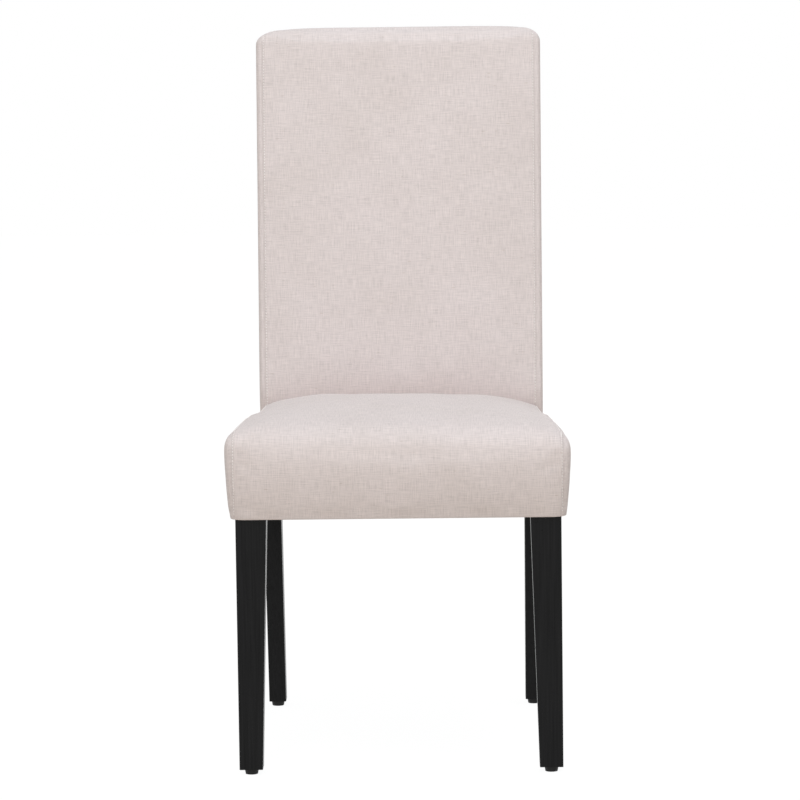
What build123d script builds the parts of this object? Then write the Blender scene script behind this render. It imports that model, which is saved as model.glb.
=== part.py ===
from build123d import *

import os
from math import atan, cos, degrees, radians, sin, sqrt

os.makedirs("parts", exist_ok=True)

# Upholstered dining chair, in millimetres. +Z is up and the chair faces -Y. The origin lies on the floor
# under the middle of the overall box. Left is -X, as seen by a person who stands in front of the chair.
# A seat unit (box frame, front legs, webbing, foam and cover) is bolted to a back unit (two posts that go
# on as the rear legs, three rails, webbing, hardboard, foam and cover).

# Overall size
overall_height = 1000.0
overall_depth = 575.0

# Seat cushion: every side bulges at mid height, is drawn in at the bottom and rolls over to the crown. Its
# width is taken across the front corners, before they are rounded.
seat_width = 472.0
seat_rear_width = 416.0
seat_underside = 353.0
seat_bulge_height = 433.0
seat_crown_height = 490.0
seat_draw_in = 6.0
seat_roll = 190.0
seat_edge_radius = 38.0
seat_tail = 9.0
seat_corner_radius = 24.0
seat_side_pad = 15.0
seat_front_pad = 13.0

# Back cushion: a reclined pad with rounded top corners and a crowned front
back_width = 415.0
back_top_corner = 36.0
back_top_roll = 21.0
back_top_edge = 10.0
back_edge_radius = 9.0
back_pad = 20.0
back_crown = 5.0
back_rear_crown = 1.5
back_rear_pad = 5.0
back_top_pad = 12.0
back_pad_rise = 70.0

# Cover cloth
cover_thickness = 1.5
cover_ease = 0.3
hem_width = 28.0
seam_inset = 7.0
dust_cover_thickness = 0.8
dust_cover_margin = 5.0

# Front legs: the outer and front faces are upright, the other two taper
front_leg_size = 42.0
front_foot_size = 32.0
leg_edge_radius = 2.0
leg_bolt_flat = 6.0

# Rear legs, which go on upwards as the posts of the back
seat_frame_depth = 405.5
rear_leg_clear_width = 355.0
post_width = 25.0
post_seat_depth = 44.0
post_top_depth = 26.0
rear_foot_depth = 32.0
rear_leg_rake = 70.0
knee_drop = 20.0
knee_rise = 25.0
knee_radius = 300.0

# Seat rails, corner blocks and webbing
rail_thickness = 20.0
rail_height = 60.0
corner_block_thickness = 30.0
corner_block_height = 50.0
corner_block_gap = 6.0
rear_block_reach = 50.0
webbing_thickness = 2.0
webbing_width = 50.0
webbing_margin = 3.0
lengthwise_strap_count = 5
lengthwise_strap_pitch = 62.0
crosswise_strap_count = 5
crosswise_strap_pitch = 70.0

# Back rails, back webbing and hardboard
back_rail_thickness = 20.0
back_rail_height = 60.0
middle_rail_height = 660.0
middle_rail_setback = 8.0
tenon_length = 12.0
tenon_thickness = 10.0
tenon_shoulder = 8.0
tenon_fit = 0.1
tenon_end_gap = 1.0
back_strap_count = 5
back_strap_lowest = 505.0
back_strap_highest = 885.0
board_thickness = 3.0
board_side_margin = 3.0
board_lift = 10.0

# Bolts with flat flanged heads, threaded inserts and glides
bolt_diameter = 8.0
bolt_hole_fit = 0.2
bolt_clearance_hole = 9.0
bolt_flange_diameter = 17.0
bolt_flange_thickness = 2.5
bolt_pitch = 28.0
bolt_end_gap = 1.0
leg_bolt_depth = 24.0
joint_bolt_spacing = 200.0
joint_bolt_depth = 16.0
insert_diameter = 12.0
insert_length = 17.0
glide_height = 8.0
glide_top_diameter = 20.0
glide_foot_diameter = 17.0

# Sections of the back cushion: levels of its swelling pad, shares of the rise above it, and angles round the
# rolled top edge
pad_level_count = 6
foam_foot_level = 2
back_body_shares = (0.05, 0.12, 0.3, 0.55, 0.8)
back_roll_angles = range(0, 91, 15)

# Sides of each round fastener and of its hole
fastener_sides = 12

hands = ((-1, "left"), (1, "right"))

# Levels
cover_bottom = seat_underside + dust_cover_thickness
rail_bottom = cover_bottom + cover_thickness
rail_top = rail_bottom + rail_height
rail_middle = rail_bottom + rail_height / 2
deck_height = rail_top + 2 * webbing_thickness + cover_ease
knee_low = seat_underside - knee_drop
knee_high = rail_top + knee_rise
post_top = overall_height - cover_thickness - cover_ease - back_top_pad
board_bottom = rail_bottom + board_lift
back_shoulder = overall_height - back_top_roll

# Places across the width and along the depth
front_y = -overall_depth / 2
rear_y = overall_depth / 2
leg_front_y = front_y + seat_front_pad
leg_rear_y = leg_front_y + front_leg_size
leg_outer_x = seat_width / 2 - seat_side_pad
leg_middle_x = leg_outer_x - front_leg_size / 2
leg_middle_y = leg_front_y + front_leg_size / 2
front_rail_inner_y = leg_front_y + rail_thickness
post_front_y = leg_front_y + seat_frame_depth
post_inner_x = rear_leg_clear_width / 2
post_outer_x = post_inner_x + post_width
seat_joint_y = post_front_y - 2 * cover_ease - cover_thickness
rear_rail_inner_y = seat_joint_y - rail_thickness
back_base_half = post_outer_x + cover_ease + cover_thickness
rear_foot_front_y = post_front_y + rear_leg_rake
foot_middle_x = leg_outer_x - front_foot_size / 2
foot_middle_y = leg_front_y + front_foot_size / 2
rear_foot_middle_x = post_inner_x + post_width / 2
rear_foot_middle_y = rear_foot_front_y + rear_foot_depth / 2

# Recline: the rear of the back reaches the overall depth at the shoulder, where the top begins to roll
board_back = cover_ease + board_thickness + cover_ease
rear_stack = board_back + back_rear_pad + cover_thickness
post_rear_y = post_front_y + post_seat_depth
shoulder_rear_y = rear_y - rear_stack
shoulder_front_y = shoulder_rear_y - post_top_depth
front_lean = (shoulder_front_y - post_front_y) / (back_shoulder - knee_high)
rear_lean = (shoulder_rear_y - post_rear_y) / (back_shoulder - knee_high)
lean_angle = atan(front_lean)

# Heights at which the front pad of the back swells out from the deck
pad_step = back_pad_rise / (pad_level_count - 1)
pad_levels = [deck_height + pad_step * level for level in range(pad_level_count)]

# Side lines of the seat, which narrows towards the back
seat_taper = (seat_width - seat_rear_width) / 2 / (seat_joint_y - front_y)
seat_rear_y = post_front_y + seat_tail


def seat_side_x(y):
    """Half-width of the seat cushion's widest outline at a depth."""
    return seat_width / 2 - seat_taper * (y - front_y)


def rail_outer_x(y):
    """Outer face of a side rail at a depth."""
    return seat_side_x(y) - seat_side_pad


def rail_inner_x(y):
    """Inner face of a side rail at a depth."""
    return rail_outer_x(y) - rail_thickness


def post_front(z):
    """Front face of a post at a height above its lower knee."""
    return post_front_y + front_lean * max(z - knee_high, 0)


def post_rear(z):
    """Rear face of a post at a height above its lower knee."""
    return post_rear_y + rear_lean * max(z - knee_high, 0)


def smooth_step(value):
    """Ease from 0 to 1 while the value goes from 0 to 1."""
    bounded = min(max(value, 0), 1)
    return bounded * bounded * (3 - 2 * bounded)


def pad_swell(z):
    """How much of the back's front pad is there at a height, from 0 to 1."""
    return smooth_step((z - deck_height) / back_pad_rise)


def back_face(z):
    """Front face of the back at its side edges, at a height."""
    return post_front(z) - cover_ease - cover_thickness - (webbing_thickness + back_pad) * pad_swell(z)


def roll_junction(run, rise, radius):
    """Where the two arcs of a rolled edge meet, inwards and upwards from its foot.

    The first arc leaves the upright wall with the radius, and the second ends level at the run and rise.
    """
    span = run - radius
    crown_radius = (rise**2 + span**2 - radius**2) / (2 * (rise - radius))
    share = radius / (crown_radius - radius)
    return radius - span * share, (crown_radius - rise) * share


# Sides of the seat in plan: a point on each and the way it faces. The front corners are cut off at 45 degrees
# at the middle of their rounding.
corner_cut = seat_corner_radius * (sqrt(2) - 1)
corner_cut_y = front_y + corner_cut * sqrt(2)
seat_sides = [
    ((0, front_y), (0, -1)),
    ((0, seat_rear_y), (0, 1)),
]
for side, hand in hands:
    seat_sides.append(((side * seat_width / 2, front_y), (side, seat_taper)))
    seat_sides.append(((side * seat_width / 2, corner_cut_y), (side, -1)))


def seat_form(inset):
    """Cushion form of the seat, a given distance inside the cover's outer face.

    One edge profile runs along every side, and the sides are mitred where they meet.
    """
    crown = seat_crown_height - inset
    inwards, upwards = roll_junction(
        seat_roll - inset, crown - seat_bulge_height, seat_edge_radius - inset
    )
    bulge = (-inset, seat_bulge_height)
    foot = (-inset - seat_draw_in, cover_bottom)
    front = front_y + inset
    rear = seat_rear_y - inset
    with BuildPart() as form:
        with BuildSketch(Plane.XY.offset(cover_bottom)):
            Polygon(
                (-seat_side_x(front) + inset, front),
                (seat_side_x(front) - inset, front),
                (seat_side_x(rear) - inset, rear),
                (-seat_side_x(rear) + inset, rear),
                align=None,
            )
            fillet(vertices(), seat_corner_radius - inset)
        extrude(amount=crown - cover_bottom)
        for point, facing in seat_sides:
            plane = Plane(origin=(*point, 0), x_dir=(*facing, 0), z_dir=(facing[1], -facing[0], 0))
            with BuildSketch(plane):
                with BuildLine():
                    TangentArc(bulge, foot, tangent=(0, -1))
                    junction = (-inset - inwards, seat_bulge_height + upwards)
                    roll = TangentArc(bulge, junction, tangent=(0, 1))
                    TangentArc(junction, (-seat_roll, crown), tangent=roll % 1)
                    Polyline(
                        (-seat_roll, crown),
                        (-overall_depth, crown),
                        (-overall_depth, cover_bottom),
                        foot,
                    )
                make_face()
            extrude(amount=overall_depth, both=True, mode=Mode.INTERSECT)
    return form.part


def draw_back_outline(front, rear, half, front_bow, radius):
    """Outline of the back with a bowed front, a bowed rear, straight sides and rounded corners."""
    with BuildLine() as edges:
        if front_bow:
            ThreePointArc((-half, front + front_bow), (0, front), (half, front + front_bow))
        else:
            Line((-half, front), (half, front))
        Line((half, front + front_bow), (half, rear - back_rear_crown))
        ThreePointArc((half, rear - back_rear_crown), (0, rear), (-half, rear - back_rear_crown))
        Line((-half, rear - back_rear_crown), (-half, front + front_bow))
    outline = make_face(edges.edges())
    fillet(outline.vertices(), radius)


def back_form(inset, foot):
    """Cushion form of the back, a given distance inside the cover, from a foot level upwards."""
    roll_height = back_top_roll - inset
    levels = [(foot, 0)]
    for height in pad_levels:
        levels.append((height, 0))
    for share in back_body_shares:
        levels.append((pad_levels[-1] + (back_shoulder - pad_levels[-1]) * share, 0))
    for angle in back_roll_angles:
        levels.append((back_shoulder + roll_height * sin(radians(angle)), 1 - cos(radians(angle))))
    least_radius = leg_edge_radius + cover_ease + cover_thickness
    with BuildPart() as form:
        for height, turn in levels:
            edge = (back_top_edge - inset) * turn
            bow = back_crown * smooth_step((height - pad_levels[-1]) / back_pad_rise)
            share = (height - cover_bottom) / (overall_height - cover_bottom)
            half = back_base_half + (back_width / 2 - back_base_half) * share
            radius = least_radius + (back_edge_radius - least_radius) * pad_swell(height)
            with BuildSketch(Plane.XY.offset(height)):
                draw_back_outline(
                    back_face(height) - bow + inset + edge,
                    post_rear(min(height, back_shoulder)) + rear_stack - inset - edge,
                    half - inset - (back_top_corner - inset) * turn,
                    bow,
                    radius - inset,
                )
        loft(ruled=True)
    return form.part


def zone_behind(line, shift, top):
    """Everything behind the posts' front or rear line, moved back by a shift, up to a height."""
    reach = overall_depth
    foot = knee_low
    with BuildPart() as zone:
        with BuildSketch(Plane.YZ):
            with BuildLine():
                edge = FilletPolyline(
                    (line(foot) + shift, foot),
                    (line(knee_high) + shift, knee_high),
                    (line(top) + shift, top),
                    radius=knee_radius,
                )
                Polyline(edge @ 1, (reach, top), (reach, foot), edge @ 0)
            make_face()
        extrude(amount=back_width, both=True)
    return zone.part


def rod(plane, diameter, length):
    """Many-sided bar from a plane along its normal."""
    with BuildSketch(plane) as section:
        RegularPolygon(diameter / 2, fastener_sides)
    extrude(section.sketch, amount=length)


def drill(plane, diameter, depth):
    """Hole for such a bar, from a plane along its normal."""
    with BuildSketch(plane) as section:
        RegularPolygon(diameter / 2, fastener_sides)
    extrude(section.sketch, amount=depth, mode=Mode.SUBTRACT)


def flanged_bolt(plane, length):
    """Bolt whose flanged head bears on a plane."""
    rod(plane, bolt_diameter, length)
    rod(plane, bolt_flange_diameter, -bolt_flange_thickness)


def finish(piece, name):
    """Label a finished piece and write it."""
    piece.label = name
    export_step(piece, f"parts/{name}.step")


# Bolt lines of the front legs, from the inner face of each corner block through the leg's inner edge
leg_edge_distance = front_leg_size / sqrt(2)
block_face_distance = leg_edge_distance + corner_block_gap + corner_block_thickness
leg_bolt_length = block_face_distance - leg_edge_distance + leg_bolt_depth


def leg_bolt_planes(side, distance):
    """Planes across the two bolt lines of one front leg, at a distance from the leg's middle."""
    across = distance / sqrt(2)
    planes = []
    for shift in (-bolt_pitch / 2, bolt_pitch / 2):
        origin = (side * (leg_middle_x - across), leg_middle_y + across, rail_middle + shift)
        planes.append(Plane(origin=origin, x_dir=(0, 0, 1), z_dir=(side, -1, 0)))
    return planes


def joint_bolt_planes(y):
    """Planes across the bolt lines between the seat unit and the back unit, at a depth."""
    planes = []
    for across in (-joint_bolt_spacing / 2, joint_bolt_spacing / 2):
        for shift in (-bolt_pitch / 2, bolt_pitch / 2):
            origin = (across, y, rail_middle + shift)
            planes.append(Plane(origin=origin, x_dir=(1, 0, 0), z_dir=(0, 1, 0)))
    return planes


# Plan outlines of the corner blocks, on the right-hand side
block_near_x = leg_outer_x - 2 * front_leg_size + rail_thickness - corner_block_gap * sqrt(2)
block_far_x = block_near_x - corner_block_thickness * sqrt(2)


def block_end(x):
    """Point where a line at 45 degrees from the front rail meets the side rail."""
    run = (rail_inner_x(front_rail_inner_y) - x) / (1 + seat_taper)
    return (x + run, front_rail_inner_y + run)


front_block = [
    (block_near_x, front_rail_inner_y),
    (block_far_x, front_rail_inner_y),
    block_end(block_far_x),
    block_end(block_near_x),
]
rear_block_run = rear_block_reach / (1 - seat_taper)
rear_block = [
    (rail_inner_x(rear_rail_inner_y), rear_rail_inner_y),
    (rail_inner_x(rear_rail_inner_y) - rear_block_reach, rear_rail_inner_y),
    (rail_inner_x(rear_rail_inner_y - rear_block_run), rear_rail_inner_y - rear_block_run),
]


# Front legs
for side, hand in hands:
    with BuildPart() as front_leg:
        with BuildSketch(Plane.XY.offset(glide_height)):
            with Locations((side * foot_middle_x, foot_middle_y)):
                RectangleRounded(front_foot_size, front_foot_size, leg_edge_radius)
        with BuildSketch(Plane.XY.offset(seat_underside)):
            with Locations((side * leg_middle_x, leg_middle_y)):
                RectangleRounded(front_leg_size, front_leg_size, leg_edge_radius)
        loft(ruled=True)
        extrude(front_leg.faces().sort_by(Axis.Z)[-1], amount=rail_top - seat_underside)
        flat_distance = leg_edge_distance - leg_bolt_flat
        flat_origin = (
            side * (leg_middle_x - flat_distance / sqrt(2)),
            leg_middle_y + flat_distance / sqrt(2),
            rail_bottom,
        )
        with BuildSketch(Plane(origin=flat_origin, x_dir=(0, 0, 1), z_dir=(-side, 1, 0))):
            Rectangle(rail_height, front_leg_size, align=(Align.MIN, Align.CENTER))
        extrude(amount=leg_bolt_flat, mode=Mode.SUBTRACT)
        for plane in leg_bolt_planes(side, leg_edge_distance):
            drill(plane, bolt_diameter + bolt_hole_fit, leg_bolt_depth + bolt_end_gap)
    finish(front_leg.part, f"front_leg_{hand}")


# Back rails: each is drawn across the chair as a leaning section at a height on the posts
def back_rail_middle(z, setback, thickness):
    """Middle of a section that lies a setback behind the posts' front line, at a height."""
    depth = setback + thickness / 2
    return (post_front(z) + depth * cos(lean_angle), z - depth * sin(lean_angle))


top_rail_height = post_top - back_rail_height / 2 * cos(lean_angle)
back_rails = {
    "back_top_rail": (back_rail_middle(top_rail_height, 0, back_rail_thickness), lean_angle),
    "back_middle_rail": (
        back_rail_middle(middle_rail_height, middle_rail_setback, back_rail_thickness),
        lean_angle,
    ),
    "back_bottom_rail": ((post_front_y + back_rail_thickness / 2, rail_middle), 0),
}

# Rear legs, raked below the seat and reclined above it
for side, hand in hands:
    with BuildPart() as rear_leg:
        with BuildSketch(Plane.YZ.offset(side * post_inner_x)):
            with BuildLine():
                front = FilletPolyline(
                    (rear_foot_front_y, glide_height),
                    (post_front_y, knee_low),
                    (post_front_y, knee_high),
                    (post_front(post_top), post_top),
                    radius=knee_radius,
                )
                rear = FilletPolyline(
                    (rear_foot_front_y + rear_foot_depth, glide_height),
                    (post_rear_y, knee_low),
                    (post_rear_y, knee_high),
                    (post_rear(post_top), post_top),
                    radius=knee_radius,
                )
                Line(front @ 0, rear @ 0)
                Line(front @ 1, rear @ 1)
            make_face()
        extrude(amount=side * post_width)
        side_edges = rear_leg.faces().filter_by(Axis.X).edges()
        fillet(side_edges.filter_by(lambda edge: edge.length > post_seat_depth), leg_edge_radius)
        for middle, lean in back_rails.values():
            with BuildSketch(Plane.YZ.offset(side * post_inner_x)):
                with Locations(middle):
                    Rectangle(
                        tenon_thickness + 2 * tenon_fit,
                        back_rail_height - 2 * tenon_shoulder + 2 * tenon_fit,
                        rotation=-degrees(lean),
                    )
            extrude(amount=side * (tenon_length + tenon_end_gap), mode=Mode.SUBTRACT)
    finish(rear_leg.part, f"rear_leg_{hand}")

for name, (middle, lean) in back_rails.items():
    with BuildPart() as back_rail:
        with BuildSketch(Plane.YZ):
            with Locations(middle):
                Rectangle(back_rail_thickness, back_rail_height, rotation=-degrees(lean))
        extrude(amount=post_inner_x, both=True)
        with BuildSketch(Plane.YZ):
            with Locations(middle):
                Rectangle(tenon_thickness, back_rail_height - 2 * tenon_shoulder, rotation=-degrees(lean))
        extrude(amount=post_inner_x + tenon_length, both=True)
        if name == "back_bottom_rail":
            for plane in joint_bolt_planes(post_front_y):
                drill(plane, insert_diameter, insert_length)
    finish(back_rail.part, name)

# Seat box frame
with BuildPart() as seat_front_rail:
    with BuildSketch(Plane.XY.offset(rail_bottom)):
        with Locations((0, leg_front_y)):
            front_rail_length = 2 * (leg_outer_x - front_leg_size)
            Rectangle(front_rail_length, rail_thickness, align=(Align.CENTER, Align.MIN))
    extrude(amount=rail_height)
finish(seat_front_rail.part, "seat_front_rail")

with BuildPart() as seat_rear_rail:
    with BuildSketch(Plane.XY.offset(rail_bottom)):
        Polygon(
            (-rail_inner_x(rear_rail_inner_y), rear_rail_inner_y),
            (rail_inner_x(rear_rail_inner_y), rear_rail_inner_y),
            (rail_inner_x(seat_joint_y), seat_joint_y),
            (-rail_inner_x(seat_joint_y), seat_joint_y),
            align=None,
        )
    extrude(amount=rail_height)
    for plane in joint_bolt_planes(rear_rail_inner_y):
        drill(plane, bolt_clearance_hole, rail_thickness)
finish(seat_rear_rail.part, "seat_rear_rail")

for side, hand in hands:
    with BuildPart() as seat_side_rail:
        with BuildSketch(Plane.XY.offset(rail_bottom)):
            Polygon(
                (side * rail_inner_x(leg_rear_y), leg_rear_y),
                (side * rail_outer_x(leg_rear_y), leg_rear_y),
                (side * rail_outer_x(seat_joint_y), seat_joint_y),
                (side * rail_inner_x(seat_joint_y), seat_joint_y),
                align=None,
            )
        extrude(amount=rail_height)
    finish(seat_side_rail.part, f"seat_side_rail_{hand}")

    for place, outline in (("front", front_block), ("rear", rear_block)):
        with BuildPart() as corner_block:
            with BuildSketch(Plane.XY.offset(rail_middle - corner_block_height / 2)):
                Polygon(*[(side * x, y) for x, y in outline], align=None)
            extrude(amount=corner_block_height)
            if place == "front":
                for plane in leg_bolt_planes(side, block_face_distance):
                    drill(plane, bolt_clearance_hole, corner_block_thickness)
        finish(corner_block.part, f"corner_block_{place}_{hand}")

# Webbing of the seat in two layers
with BuildPart() as seat_webbing_lengthwise:
    strap_length = seat_joint_y - leg_front_y - 2 * webbing_margin
    with BuildSketch(Plane.XY.offset(rail_top)):
        with Locations((0, (seat_joint_y + leg_front_y) / 2)):
            with GridLocations(lengthwise_strap_pitch, 1, lengthwise_strap_count, 1):
                Rectangle(webbing_width, strap_length)
    extrude(amount=webbing_thickness)
finish(seat_webbing_lengthwise.part, "seat_webbing_lengthwise")

with BuildPart() as seat_webbing_crosswise:
    strap_field_y = (leg_rear_y + rear_rail_inner_y) / 2
    with BuildSketch(Plane.XY.offset(rail_top + webbing_thickness)):
        for index in range(crosswise_strap_count):
            strap_y = strap_field_y + (index - (crosswise_strap_count - 1) / 2) * crosswise_strap_pitch
            strap_half = rail_outer_x(strap_y + webbing_width / 2) - webbing_margin
            with Locations((0, strap_y)):
                Rectangle(2 * strap_half, webbing_width)
    extrude(amount=webbing_thickness)
finish(seat_webbing_crosswise.part, "seat_webbing_crosswise")

# Webbing of the back, across the front faces of the posts
with BuildPart() as back_webbing:
    strap_pitch = (back_strap_highest - back_strap_lowest) / (back_strap_count - 1)
    with BuildSketch(Plane.YZ):
        for index in range(back_strap_count):
            strap_height = back_strap_lowest + index * strap_pitch
            with Locations(back_rail_middle(strap_height, -webbing_thickness, webbing_thickness)):
                Rectangle(webbing_thickness, webbing_width, rotation=-degrees(lean_angle))
    extrude(amount=post_outer_x - webbing_margin, both=True)
finish(back_webbing.part, "back_webbing")

# Hardboard on the rear faces of the posts, bent to their line
with BuildPart() as back_board:
    with BuildSketch(Plane.YZ):
        with BuildLine():
            faces = []
            for shift in (cover_ease, cover_ease + board_thickness):
                faces.append(
                    FilletPolyline(
                        (post_rear_y + shift, board_bottom),
                        (post_rear_y + shift, knee_high),
                        (post_rear(post_top) + shift, post_top),
                        radius=knee_radius,
                    )
                )
            Line(faces[0] @ 0, faces[1] @ 0)
            Line(faces[0] @ 1, faces[1] @ 1)
        make_face()
    extrude(amount=post_outer_x - board_side_margin, both=True)
finish(back_board.part, "back_board")

# Cushion forms, from the outside of the cover to the outside of the foam
below_cover = cover_bottom - hem_width
seat_outer = seat_form(0)
seat_inner = seat_form(cover_thickness)
seat_filling = seat_form(cover_thickness + cover_ease)
back_outer = back_form(0, cover_bottom)
back_inner = back_form(cover_thickness, below_cover)
back_filling = back_form(cover_thickness + cover_ease, below_cover)
behind_board = zone_behind(post_rear, board_back, overall_height + back_top_roll)
behind_webbing = zone_behind(post_front, -webbing_thickness - cover_ease, post_top + cover_ease)

# Room of the back unit behind the seat unit, along the face that the two share
with BuildPart() as back_room:
    with BuildSketch(Plane.YZ):
        face_levels = [below_cover, *pad_levels, back_shoulder]
        Polygon(
            (rear_y, below_cover),
            *[(back_face(height) - cover_ease, height) for height in face_levels],
            (rear_y, back_shoulder),
            align=None,
        )
    extrude(amount=seat_width, both=True)

# Outline of the box frame in plan, with room for the foam's skirt
with BuildPart() as frame_room:
    with BuildSketch(Plane.XY.offset(below_cover)):
        for side, hand in hands:
            with Locations((side * leg_middle_x, leg_middle_y)):
                Rectangle(front_leg_size, front_leg_size)
        Polygon(
            (-rail_outer_x(leg_rear_y), leg_front_y),
            (rail_outer_x(leg_rear_y), leg_front_y),
            (rail_outer_x(leg_rear_y), leg_rear_y),
            (rail_outer_x(rear_y), rear_y),
            (-rail_outer_x(rear_y), rear_y),
            (-rail_outer_x(leg_rear_y), leg_rear_y),
            align=None,
        )
        offset(amount=cover_ease, kind=Kind.INTERSECTION)
    extrude(amount=deck_height - below_cover)

with BuildPart() as seat_foam:
    add(seat_filling)
    split(bisect_by=Plane.XY.offset(rail_bottom + cover_ease), keep=Keep.TOP)
    add(frame_room.part, mode=Mode.SUBTRACT)
    add(back_room.part, mode=Mode.SUBTRACT)
finish(seat_foam.part, "seat_foam")

# Cover of the seat: one shell with its hem turned under the rails, cut along the two side seams
with BuildPart() as seat_hollow:
    add(seat_inner)
    split(bisect_by=Plane.XY.offset(rail_bottom), keep=Keep.TOP)

with BuildPart() as seat_shell:
    add(seat_outer)
    add(seat_hollow.part, mode=Mode.SUBTRACT)
    add(back_room.part, mode=Mode.SUBTRACT)
    with BuildSketch(Plane.XY.offset(below_cover)):
        hem_y = leg_front_y + hem_width
        Polygon(
            (-rail_outer_x(hem_y) + hem_width, hem_y),
            (rail_outer_x(hem_y) - hem_width, hem_y),
            (rail_outer_x(rear_y) - hem_width, rear_y),
            (-rail_outer_x(rear_y) + hem_width, rear_y),
            align=None,
        )
        for side, hand in hands:
            with Locations((side * leg_middle_x, leg_middle_y)):
                Rectangle(front_leg_size + 2 * cover_ease, front_leg_size + 2 * cover_ease)
    extrude(amount=rail_bottom + cover_ease - below_cover, mode=Mode.SUBTRACT)
seat_seams = {
    side: Plane(
        origin=(side * (seat_width / 2 - seam_inset), front_y, 0),
        x_dir=(0, 0, 1),
        z_dir=(side, seat_taper, 0),
    )
    for side, hand in hands
}

with BuildPart() as seat_cover_top:
    add(seat_shell.part)
    for seam in seat_seams.values():
        split(bisect_by=seam, keep=Keep.BOTTOM)
finish(seat_cover_top.part, "seat_cover_top")

for side, hand in hands:
    with BuildPart() as seat_cover_side:
        add(seat_shell.part)
        split(bisect_by=seat_seams[side], keep=Keep.TOP)
    finish(seat_cover_side.part, f"seat_cover_side_{hand}")

# Filling of the back: the front pad turns over the top, and thin wadding lies on the hardboard
with BuildPart() as back_foam:
    add(back_filling)
    add(behind_webbing, mode=Mode.SUBTRACT)
    add(behind_board, mode=Mode.SUBTRACT)
    split(bisect_by=Plane.XY.offset(pad_levels[foam_foot_level]), keep=Keep.TOP)
finish(back_foam.part, "back_foam")

with BuildPart() as back_rear_padding:
    add(back_filling)
    add(behind_board, mode=Mode.INTERSECT)
    split(bisect_by=Plane.XY.offset(board_bottom), keep=Keep.TOP)
finish(back_rear_padding.part, "back_rear_padding")

# Cover of the back: one shell, cut along the two side seams and along the rear top edge
with BuildPart() as back_shell:
    add(back_outer)
    add(back_inner, mode=Mode.SUBTRACT)
    for plane in joint_bolt_planes(seat_joint_y):
        drill(plane, bolt_clearance_hole, 2 * cover_ease + cover_thickness)
back_seams = {
    side: Plane(
        origin=(side * (back_width / 2 - seam_inset), 0, 0),
        x_dir=(0, 0, 1),
        z_dir=(side, 0, 0),
    )
    for side, hand in hands
}

with BuildPart() as back_cover_front:
    add(back_shell.part)
    for seam in back_seams.values():
        split(bisect_by=seam, keep=Keep.BOTTOM)
    add(behind_board, mode=Mode.SUBTRACT)
finish(back_cover_front.part, "back_cover_front")

with BuildPart() as back_cover_rear:
    add(back_shell.part)
    for seam in back_seams.values():
        split(bisect_by=seam, keep=Keep.BOTTOM)
    add(behind_board, mode=Mode.INTERSECT)
finish(back_cover_rear.part, "back_cover_rear")

for side, hand in hands:
    with BuildPart() as back_cover_side:
        add(back_shell.part)
        split(bisect_by=back_seams[side], keep=Keep.TOP)
    finish(back_cover_side.part, f"back_cover_side_{hand}")

# Dust cover under the seat, notched round the legs
with BuildPart() as dust_cover:
    dust_front_y = leg_front_y + dust_cover_margin
    dust_rear_y = post_rear_y
    dust_rear_x = post_inner_x - dust_cover_margin
    with BuildSketch(Plane.XY.offset(seat_underside)):
        Polygon(
            (-rail_outer_x(dust_front_y) + dust_cover_margin, dust_front_y),
            (rail_outer_x(dust_front_y) - dust_cover_margin, dust_front_y),
            (rail_outer_x(seat_joint_y) - dust_cover_margin, seat_joint_y),
            (dust_rear_x, seat_joint_y),
            (dust_rear_x, dust_rear_y),
            (-dust_rear_x, dust_rear_y),
            (-dust_rear_x, seat_joint_y),
            (-rail_outer_x(seat_joint_y) + dust_cover_margin, seat_joint_y),
            align=None,
        )
        for side, hand in hands:
            notch = front_leg_size + 2 * cover_ease
            with Locations((side * leg_middle_x, leg_middle_y)):
                Rectangle(notch, notch, mode=Mode.SUBTRACT)
    extrude(amount=dust_cover_thickness)
finish(dust_cover.part, "dust_cover")

# Bolts of the front legs
with BuildPart() as front_leg_bolts:
    for side, hand in hands:
        for plane in leg_bolt_planes(side, block_face_distance):
            flanged_bolt(plane, leg_bolt_length)
finish(front_leg_bolts.part, "front_leg_bolts")

# Bolts and threaded inserts between the seat unit and the back unit
with BuildPart() as seat_joint_bolts:
    for plane in joint_bolt_planes(rear_rail_inner_y):
        flanged_bolt(plane, post_front_y + joint_bolt_depth - rear_rail_inner_y)
finish(seat_joint_bolts.part, "seat_joint_bolts")

with BuildPart() as seat_joint_inserts:
    for plane in joint_bolt_planes(post_front_y):
        rod(plane, insert_diameter, insert_length)
        drill(plane, bolt_diameter + bolt_hole_fit, insert_length)
finish(seat_joint_inserts.part, "seat_joint_inserts")

# Glides under the legs
feet = {
    f"{place}_{hand}": (side * x, y)
    for side, hand in hands
    for place, x, y in (
        ("front", foot_middle_x, foot_middle_y),
        ("rear", rear_foot_middle_x, rear_foot_middle_y),
    )
}
for name, (x, y) in feet.items():
    with BuildPart() as glide:
        with Locations((x, y, 0)):
            Cone(
                glide_foot_diameter / 2,
                glide_top_diameter / 2,
                glide_height,
                align=(Align.CENTER, Align.CENTER, Align.MIN),
            )
    finish(glide.part, f"glide_{name}")
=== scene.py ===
"""Upholstered dining chair: covers, stitching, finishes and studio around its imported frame.

Lengths are in metres. +Z is up, the chair faces -Y and left is -X, as in the frame.
"""

import logging
from dataclasses import dataclass, field
from enum import Enum

import bpy
import numpy as np
from mathutils import Matrix, Vector


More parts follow.
